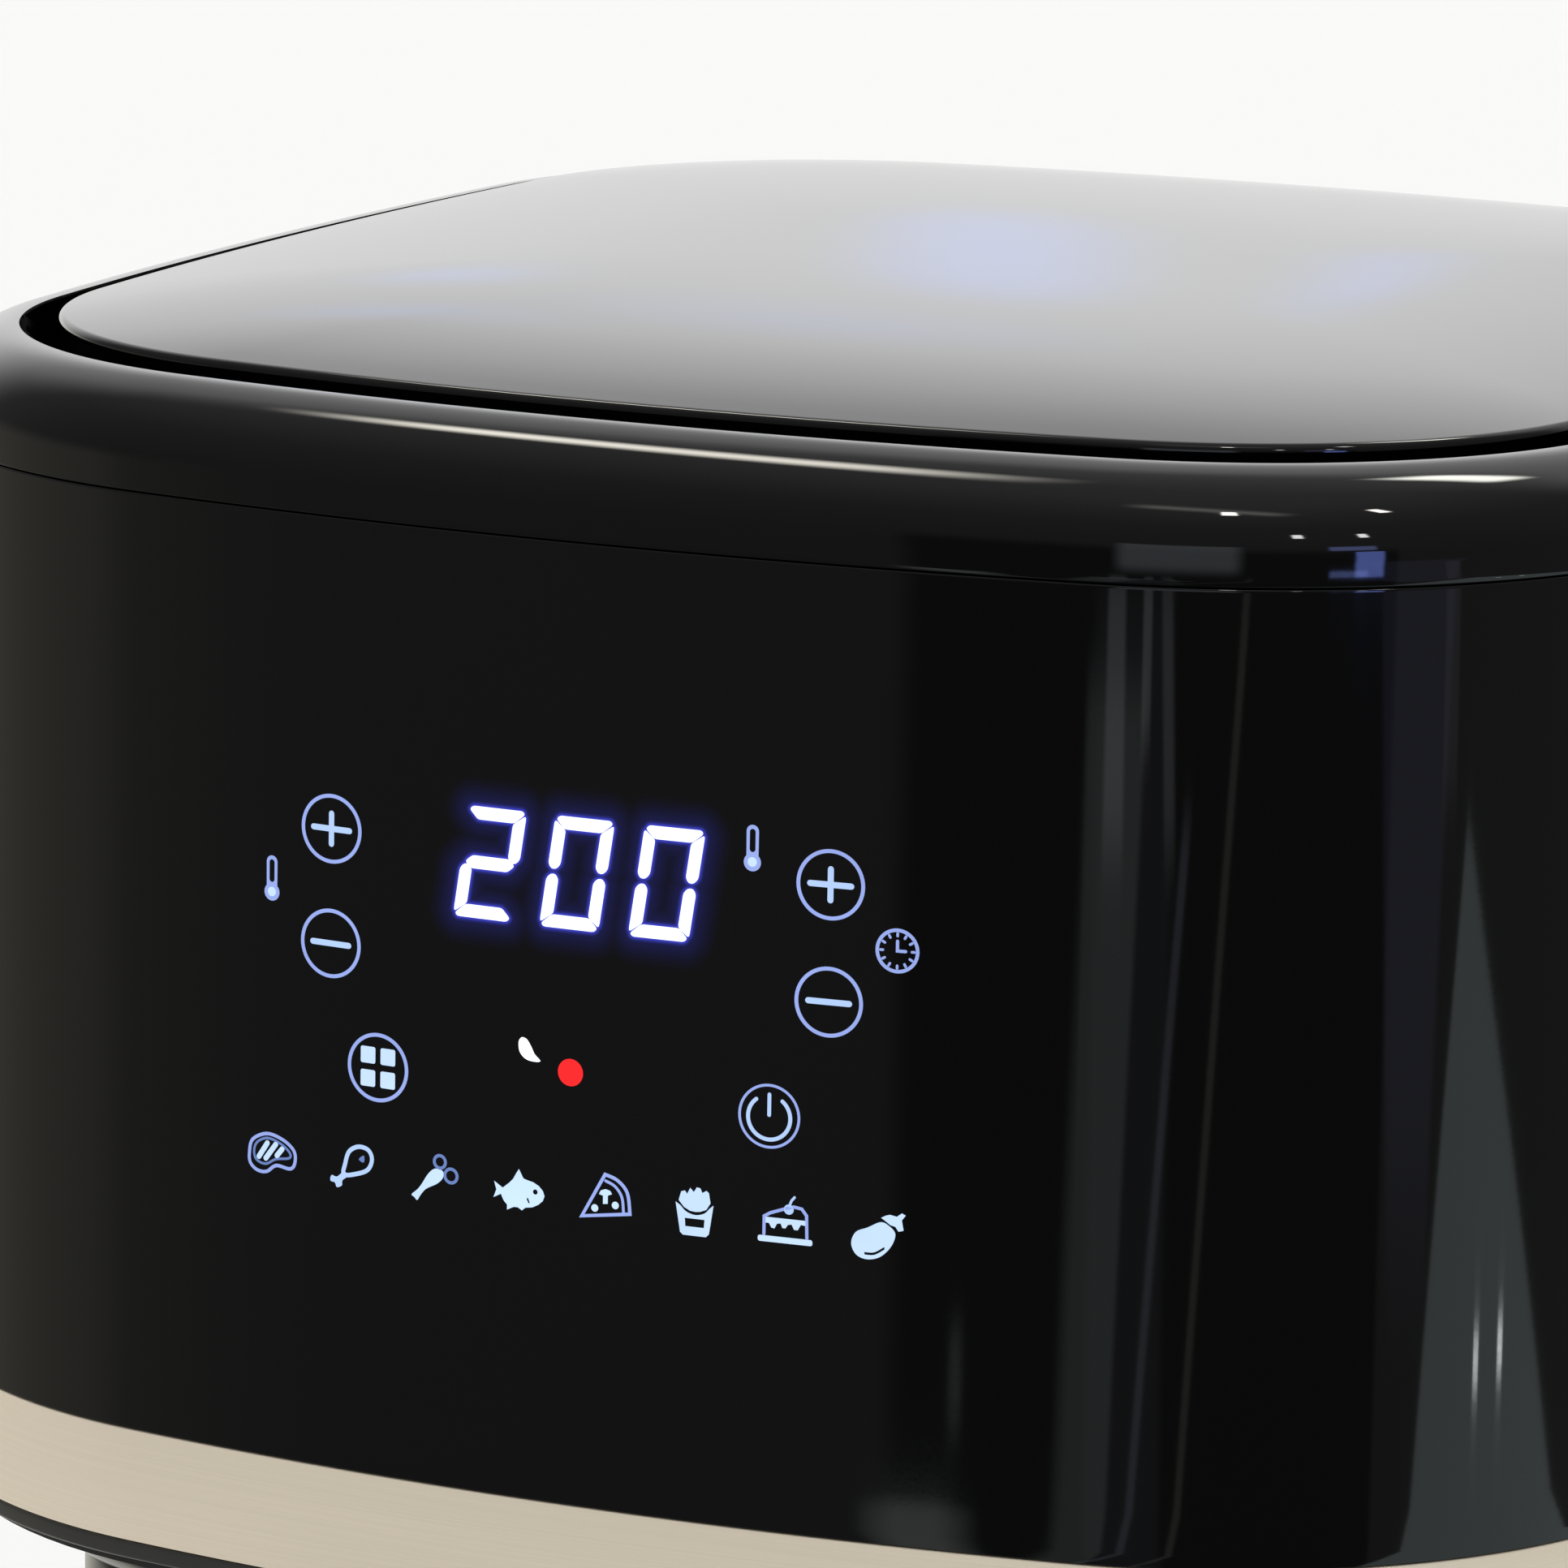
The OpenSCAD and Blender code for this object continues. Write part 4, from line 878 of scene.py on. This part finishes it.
halo_faces += [(a + front_count, a, b, b + front_count) for a, b in zip(rim, rim[1:] + rim[:1])]
halo_faces.append(tuple(front_count + k for k in rim))
halo = plain("digit_halo", halo_verts, halo_faces)
layer = halo.data.color_attributes.new("glow", "FLOAT_COLOR", "POINT")
for k in range(len(halo_verts)):
    fringe, haze = halo_levels[k] if k < front_count else (0.0, 0.0)
    layer.data[k].color = (0.05 * fringe + 0.008 * haze, 0.06 * fringe + 0.009 * haze,
                           0.66 * fringe + 0.08 * haze, 1.0)
halo_look = surface("digit_halo", BLACK, 0.05, tone=0.2, rough_spread=0.015, cloud=(9, 9, 6),
                    grain=(1500, 1500, 1500), bump=4e-7)
halo_nodes = halo_look.node_tree
glow = halo_nodes.nodes.new("ShaderNodeVertexColor")
glow.layer_name = "glow"
shader = next(n for n in halo_nodes.nodes if n.type == "BSDF_PRINCIPLED")
halo_nodes.links.new(glow.outputs[0], shader.inputs["Emission Color"])
shader.inputs["Emission Strength"].default_value = 1.0
halo.data.materials.append(halo_look)
halo.data.polygons.foreach_set("use_smooth", [True] * len(halo.data.polygons))
halo.data.set_sharp_from_angle(angle=radians(40))
bm = bmesh.new()
bm.from_mesh(halo.data)
loose = [v for v in bm.verts if not v.link_faces]
bmesh.ops.delete(bm, geom=loose, context="VERTS")
bmesh.ops.recalc_face_normals(bm, faces=bm.faces)
bm.to_mesh(halo.data)
bm.free()
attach(halo, "housing")

# the food symbols
row = [(-53.4 + 14.96 * i, -102.2) for i in range(8)]
steak = smooth_loop([(-4.3, -0.5), (-3.7, 1.7), (-1, 3), (2, 2.4), (4.1, 0.9), (4.3, -1),
                     (3.4, -2.1), (0.8, -1.9), (-1, -3.1), (-2.8, -3.1), (-4.1, -2.1)])
steak_top = smooth_loop([(-3.4, 0.1), (-2.7, 1.5), (-0.8, 2.3), (1.6, 1.7), (3.3, 0.5),
                         (3.2, -0.4), (0.7, -0.9), (-1.2, -1.9), (-3, -1.4)])
symbol("steak_outline", row[0], [stroke(steak, 0.55, True)], line_light)
symbol("steak_top", row[0], [stroke(steak_top, 0.4, True)], dim_light)
symbol("steak_bars", row[0], [stroke([(-2.5, -0.9), (-0.9, 1.5)], 0.85),
                              stroke([(-1.2, -1), (0.7, 1.5)], 0.85),
                              stroke([(0.9, -0.3), (1.9, 0.9)], 0.85)], fill_light)

drum = smooth_loop([(-1.5, -1.6), (-1.3, 0.2), (-0.6, 2.2), (1.1, 3.2), (2.9, 2.9), (3.6, 1.5),
                    (2.9, -0.2), (1.1, -1.1)])
bone = smooth_loop([(-1.5, -1.1), (-2.8, -2.1), (-3.8, -2), (-4, -2.9), (-3.2, -3.1),
                    (-2.8, -3.8), (-1.9, -3.4), (-1.8, -2.6), (-0.9, -1.8)])
symbol("drumstick_outline", row[1], [stroke(drum, 0.7, True)], bar_light)
symbol("drumstick_bone", row[1], [fill(bone)], bar_light)
symbol("drumstick_shine", row[1], [fill(smooth_loop([(1.2, 1.2), (2.1, 1.9), (2.1, 0.8)]))],
       dim_light)

leg = smooth_loop([(1.4, 1.3), (1.5, 0.3), (0.5, -0.8), (-1.5, -1.9), (-2.5, -3), (-3.1, -3.9),
                   (-3.6, -3.5), (-4.1, -3.1), (-3.1, -2.2), (-2.3, -1.2), (-1.2, 0.5),
                   (0, 1.5)])
symbol("leg", row[2], [fill(leg)], fill_light)
symbol("leg_rings", row[2], [stroke(circle(0.9, 2.7, 1, 24), 0.5, True),
                             stroke(circle(2.9, 0.7, 1.1, 24), 0.5, True)], dim_light)

fish = [(4.4, -0.5), (4.1, 0.3), (3.4, 1), (2.4, 1.5), (1.4, 1.7), (0.7, 1.9), (0.3, 2.6),
        (-0.1, 3.3), (-0.6, 2.5), (-1.1, 1.6), (-1.8, 0.9), (-2.9, 0), (-4.4, 0.9), (-4, -0.4),
        (-4.5, -1.7), (-3.2, -1), (-2.7, -2), (-2.1, -2.6), (-2.1, -3.4), (-0.9, -2.8),
        (-0.2, -2.8), (0.5, -3.2), (1.1, -2.7), (2.3, -2.5), (3.3, -2), (4.1, -1.3)]
symbol("fish", row[3], [fill(fish, [circle(2.8, 0, 0.42, 12),
                                    [(1.5, -1), (1.9, -1.9), (1.6, -1.9), (1.3, -1.3)]])],
       fill_light)

slice_edge = [(-4.1, -3.6), (-0.2, 3.4)] + smooth_loop([(-0.2, 3.4), (1.9, 2.7), (3.6, 0.9),
                                                       (4.1, -2.4)], False)[1:]
crust = smooth_loop([(-0.1, 2.4), (1.5, 1.7), (2.7, 0.1), (3, -2.3)], False)
mushroom = [(-1.2, 0.2), (-0.9, 0.8), (-0.1, 1.1), (0.7, 0.9), (1, 0.4), (0.3, 0.1),
            (0.3, -1.2), (-0.5, -1.3), (-0.5, 0)]
pizza_at = (row[4][0], row[4][1] + 0.8)
symbol("pizza_outline", pizza_at, [stroke(slice_edge, 0.55, True), stroke(crust, 0.45)],
       line_light)
symbol("pizza_topping", pizza_at, [fill(mushroom), fill(circle(-1.9, -2.1, 0.6, 14)),
                                   fill(circle(1.6, -1.3, 0.6, 14))], fill_light)

carton = [(-3.2, 1.3)] + smooth_loop([(-2.4, 0.8), (-1.4, -0.1), (0.1, -0.5), (1.6, -0.1),
                                      (2.5, 0.8)], False) + [(3.1, 1.3), (2.4, -3.3), (1.9, -3.8),
                                                             (-1.9, -3.8), (-2.4, -3.4)]
label_hole = [(-1.65, -1.1), (1.65, -1.1), (1.55, -2.4), (-1.55, -2.4)]
fries = [(-2.7, 1.6), (-2.3, 3), (-1.7, 3.2), (-1.3, 2.7), (-0.8, 3.7), (-0.2, 3.1), (0.3, 3.9),
         (0.9, 3.8), (1.2, 3.1), (1.9, 3.5), (2.3, 3.2), (2.6, 1.6), (1.9, 0.5), (0.9, 0.1),
         (0.1, 0), (-0.8, 0.1), (-1.8, 0.6)]
symbol("fries_carton", row[5], [fill(carton, [label_hole])], fill_light)
symbol("fries", row[5], [fill(fries)], fill_light)

cake_at = row[6]
symbol("cake_plate", cake_at, [fill([(x - 0.05, y - 2.9) for x, y in rounded(8.9, 0.95, 0.35, 4)])],
       fill_light)
cake = [(-3.5, -2.2), (-3.5, 0.6), (-2.5, 1.2), (0, 2.1), (1.3, 2.5), (2.6, 2.3), (3.4, 1.3),
        (3.5, -2.2)]
symbol("cake_outline", cake_at, [stroke(cake, 0.5)], line_light)
icing = [(-3.3, 0.5), (3.3, 0.5), (3.3, -0.3), (2.5, -0.2), (2, -1.1), (1.4, -1.1), (1, -0.3),
         (0.4, -0.4), (0, -1), (-0.5, -1), (-0.8, -0.3), (-1.4, -0.4), (-1.8, -1.2),
         (-2.3, -1.1), (-2.7, -0.4), (-3.3, -0.4)]
symbol("cake_icing", cake_at, [fill(icing)], fill_light)
symbol("cake_cherry", (cake_at[0] + 0.5, cake_at[1] + 2),
       [fill(circle(0, 0, 0.8, 18)), stroke([(0.1, 0.6), (0.4, 1.4), (0.9, 2)], 0.4)],
       bar_light)

plant = smooth_loop([(1.6, 1.9), (2.7, 0.7), (2.1, -1.3), (0.4, -3.1), (-1.7, -3.7), (-3.5, -3.1),
                     (-4.3, -1.4), (-3.6, 0.4), (-1.7, 1.3), (0.3, 2.3)])
calyx = [(0.4, 3), (1.1, 3.4), (1.8, 3.6), (2.9, 3.4), (3.7, 4), (4.3, 3.7), (3.7, 2.9),
         (4, 1.3), (3.2, 1.1), (2.7, 1.8), (1.9, 2), (1.2, 2.5)]
low_line = smooth_loop([(-2.2, -2.6), (-0.6, -2.5), (1, -1.5)], False, 4)
line_hole = low_line + [(x + 0.05, y - 0.4) for x, y in reversed(low_line)]
plant_at = (row[7][0], row[7][1] - 0.8)
symbol("aubergine", plant_at, [fill(plant, [line_hole])], fill_light)
symbol("aubergine_cap", plant_at, [fill(calyx)], fill_light)

# ---------- stage ----------

PALE = 0.93
ground = plain("ground", [(x * 14, y * 14, 0) for x, y in ((-1, -1), (1, -1), (1, 1), (-1, 1))],
               [(0, 1, 2, 3)])
floor_look = bpy.data.materials.new("ground")
floor_look.use_nodes = True
g = Graph(floor_look.node_tree)
cloud = g.noise(g.add("ShaderNodeTexCoord", out=3), 0.8, 3.0)
bright = g.blend(cloud, (0.30, 0.30, 0.30), (0.31, 0.31, 0.31))
floor_shader = g.node("ShaderNodeBsdfPrincipled", {"Base Color": bright, "Roughness": 0.9,
                                                   "Specular IOR Level": 0.0,
                                                   "Emission Color": (1, 1, 1, 1),
                                                   "Emission Strength": 0.675})
g.node("ShaderNodeOutputMaterial", {"Surface": floor_shader.outputs[0]})
ground.data.materials.append(floor_look)
ground.visible_glossy = False

# the studio: the camera sees a pale room, the gloss sees its lamps, windows and dark corners
world = bpy.data.worlds.new("studio")
bpy.context.scene.world = world
world.use_nodes = True
w = Graph(world.node_tree)
way = w.add("ShaderNodeTexCoord", out=0)
way_x, way_y, way_z = w.node("ShaderNodeSeparateXYZ", [way]).outputs
DEGREES = 180 / pi


def plus(a, b):
    return w.math("ADD", a, b)


def minus(a, b):
    return w.math("SUBTRACT", a, b)


def times(a, b):
    return w.math("MULTIPLY", a, b)


def bearing(turn):
    """Degrees from the front, positive to the right, less the given turn."""
    c, s = cos(radians(turn)), sin(radians(turn))
    across = minus(times(way_x, c), times(way_y, -s))
    along = plus(times(way_y, -c), times(way_x, s))
    return times(w.math("ARCTAN2", across, along), DEGREES)


az = bearing(0)
el = times(w.math("ARCSINE", way_z), DEGREES)
REFERENCE = -13
below_reference = minus(REFERENCE, el)


def ramp(value, lo, hi, points):
    """A light level that goes through (value, level) points."""
    place = w.spread(value, 0.0, 1.0, lo, hi)
    node = w.node("ShaderNodeValToRGB", [place])
    stops = node.color_ramp
    stops.interpolation = "LINEAR"
    while len(stops.elements) < len(points):
        stops.elements.new(0.5)
    for stop, (at, level) in zip(stops.elements, points):
        stop.position = (at - lo) / (hi - lo)
        stop.color = (level / 2, level / 2, level / 2, 1.0)
    return times(w.add("ShaderNodeSeparateColor", [node.outputs[0]]), 2.0)


def window(value, middle, half, soft):
    """One within half of the middle, zero outside, with a soft edge."""
    away = w.math("ABSOLUTE", minus(value, middle))
    ends = [minus(half, soft / 2), plus(half, soft / 2)]
    return w.add("ShaderNodeMapRange", [away, *ends, 1.0, 0.0], interpolation_type="SMOOTHSTEP")


def tinted(level, colour):
    """The level as a light of that colour."""
    node = w.node("ShaderNodeMix", {0: 1.0}, data_type="RGBA", blend_type="MULTIPLY")
    w.tree.links.new(level, node.inputs[6])
    node.inputs[7].default_value = (*colour, 1.0)
    return node.outputs[2]


def leaning(at, lean, half, widen, soft, low, high, fade):
    """A strip between two elevations whose middle and width change with the elevation."""
    middle = plus(at, times(below_reference, lean))
    width = plus(half, times(below_reference, widen))
    return times(window(az, middle, width, soft),
                 window(el, (low + high) / 2, (high - low) / 2, fade))


# level of the light around, by elevation: in front and at the sides, and behind
around = ramp(el, -30, 90, ((-30, 0.12), (-10, 0.155), (5, 0.165), (22, 0.19), (40, 0.22),
                            (55, 0.30), (70, 0.40), (90, 0.42)))
behind = ramp(el, -30, 90, ((-30, 0.62), (-10, 0.80), (0, 1.02), (6, 1.25), (14, 1.36), (19, 1.25),
                            (23, 1.08), (29, 0.88), (47, 0.9), (58, 0.5), (90, 0.42)))
is_behind = window(bearing(-167), 0.0, 52.0, 36.0)
level = plus(times(around, minus(1.0, is_behind)), times(behind, is_behind))
shadow = times(window(az, 25.0, 36.5, 1.6), w.spread(el, 1.0, 0.0, 2.0, 14.0, True))
level = times(level, minus(1.0, times(shadow, 0.58)))
left = w.spread(az, 1.0, 0.0, -62.0, -38.0, True)
left = times(left, w.spread(el, 1.0, 0.0, -2.0, 10.0, True))
left = times(left, w.spread(az, 0.0, 1.0, -150.0, -110.0, True))
total = w.blend(left, tinted(level, (1.0, 1.0, 1.0)), tinted(level, (2.05, 2.0, 1.75)))

# lamps on the ceiling, by where their light crosses a plane one unit up
up = w.math("MAXIMUM", way_z, 0.05)
ceiling_x = w.math("DIVIDE", way_x, up)
ceiling_y = w.math("DIVIDE", way_y, up)
overhead = w.spread(way_z, 0.0, 1.0, 0.1, 0.2)
CEILING = (
    # x, y, slant, half length, half width, softness, colour
    (-0.47, 0.20, -0.65, 0.15, 0.07, 0.14, (13, 12.4, 11)),
    (0.13, 0.68, 0, 0.14, 0.08, 0.10, (14, 14, 12.8)),
    (0.20, -0.46, 0, 0.24, 0.03, 0.14, (1.9, 1.9, 1.8)),
)
for x, y, slant, half_x, half_y, soft, colour in CEILING:
    line = plus(y, times(minus(ceiling_x, x), slant))
    shape = times(window(ceiling_x, x, half_x, soft),
                  window(minus(ceiling_y, line), 0.0, half_y, soft))
    total = w.blend(1.0, total, tinted(times(shape, overhead), colour), "ADD")

room = total

# what only the gloss sees: windows and doorways low in front, then four small lamps above
STRIPS = (
    # azimuth, lean, half width, widening, softness, elevations, fade, colour
    (2.2, -0.6, 5.2, -0.3, 1.5, -26, -10.6, 0.6, (0.24, 0.28, 0.27)),
    (7.5, 0.2, 8, 0, 2.5, -26, -10, 0.6, (0.06, 0.065, 0.075)),
    (3, 0, 2.4, 0.2, 1.2, -11.6, -9.8, 0.8, (0.42, 0.44, 0.48)),
    (9.5, 0, 0.9, 0, 0.8, -10.9, -9.8, 0.5, (0.45, 0.47, 0.5)),
    (15.5, -2, 0.8, 0, 0.8, -26, -11.4, 0.5, (0.27, 0.28, 0.36)),
    (16.5, 1, 1.1, 0, 1, -11.6, -9.8, 0.8, (0.30, 0.31, 0.33)),
    (24.8, -1.7, 0.7, 0, 0.7, -26, -9.8, 0.8, (0.22, 0.23, 0.20)),
    (67.5, 0.3, 5.4, -0.9, 1.5, -14, -6, 2, (0.085, 0.09, 0.17)),
    (75.6, 0.4, 1.6, 0, 0.8, -11.2, -8, 0.6, (0.13, 0.13, 0.16)),
    (83.2, 2.2, 7.2, 4.2, 0.8, -40, -11.4, 0.3, (0.58, 0.70, 0.70)),
    (85.4, 0, 0.6, 0, 0.3, -14.9, -14.6, 0.1, (10, 10.4, 10.4)),
    (91.4, 0, 0.6, 0, 0.3, -14.8, -14.5, 0.1, (11, 11.4, 11.4)),
    (-10.2, 0, 1.4, 0, 1.4, -40, -15.75, 0.3, (0.31, 0.35, 0.33)),
    (-10.2, 0, 2.3, 0, 1.2, -40, -15.95, 0.4, (0.31, 0.35, 0.33)),
    (-8.6, 0, 0.25, 0, 0.3, -15.3, -14.7, 0.3, (0.30, 0.33, 0.33)),
    (15.5, 0, 12.5, 0, 4, -9, 14, 1.4, (0.53, 0.59, 0.65)),
    (55.4, 0, 3, 0, 1, -9.5, 7, 0.1, (1.2, 1.7, 5.2)),
    (52, 0, 5, 0, 1.2, 9, 14, 2, (0.9, 1.1, 2.6)),
    (51, 0, 4, 0, 1.2, -9.5, -8.9, 0.1, (0.9, 1.2, 3)),
    (27.6, 0, 2.4, 0, 1.2, 57.2, 61.8, 0.8, (30, 29, 27)),
    (75.2, 0, 1.9, 0, 1.2, 55.1, 59.7, 0.8, (30, 28.5, 27)),
    (41.3, 0, 1.1, 0, 0.8, 25.8, 30.4, 0.8, (18, 17.5, 18)),
    (56, 0, 1, 0, 0.8, 25.3, 29.9, 0.8, (18, 17.5, 18)),
)
for at, lean, half, widen, soft, low, high, fade, colour in STRIPS:
    total = w.blend(1.0, total, tinted(leaning(at, lean, half, widen, soft, low, high, fade), colour),
                    "ADD")

# cool patches of daylight far behind
SPOTS = (
    # azimuth, elevation, radius in degrees, softness, colour
    (-156.3, 8, 0.75, 1.3, (0, 0.08, 0.42)),
    (-155, 11.5, 1.4, 2.6, (0, 0.03, 0.16)),
    (-152.4, 8.5, 0.6, 1.6, (0, 0.08, 0.36)),
    (-151.6, 13, 1, 2, (0, 0.05, 0.25)),
    (-158.9, 8.7, 0.5, 1.2, (0, 0.06, 0.36)),
)
for spot_az, spot_el, radius, soft, colour in SPOTS:
    a, e = radians(spot_az), radians(spot_el)
    aim = (sin(a) * cos(e), -cos(a) * cos(e), sin(e))
    near = w.node("ShaderNodeVectorMath", [way, aim], operation="DOT_PRODUCT").outputs[1]
    apart = times(w.math("ARCCOSINE", w.math("MINIMUM", near, 1.0)), DEGREES)
    total = w.blend(1.0, total, tinted(window(apart, 0.0, radius, soft), colour), "ADD")

seen = w.add("ShaderNodeBackground", {"Color": (PALE, PALE, PALE, 1.0), "Strength": 1.0})
mirrored = w.add("ShaderNodeBackground", {"Color": total, "Strength": 1.0})
horizon = w.spread(el, 0.5, 0.0, 15.0, 45.0, True)
room = w.blend(1.0, room, tinted(horizon, (1.0, 1.0, 1.0)), "ADD")
spread_out = w.add("ShaderNodeBackground", {"Color": room, "Strength": 1.2})
path = w.node("ShaderNodeLightPath").outputs
lit = w.add("ShaderNodeMixShader", [path["Is Glossy Ray"], spread_out, mirrored])
mix = w.add("ShaderNodeMixShader", [path["Is Camera Ray"], lit, seen])
w.node("ShaderNodeOutputWorld", {"Surface": mix})
bpy.context.scene.view_settings.view_transform = "Standard"
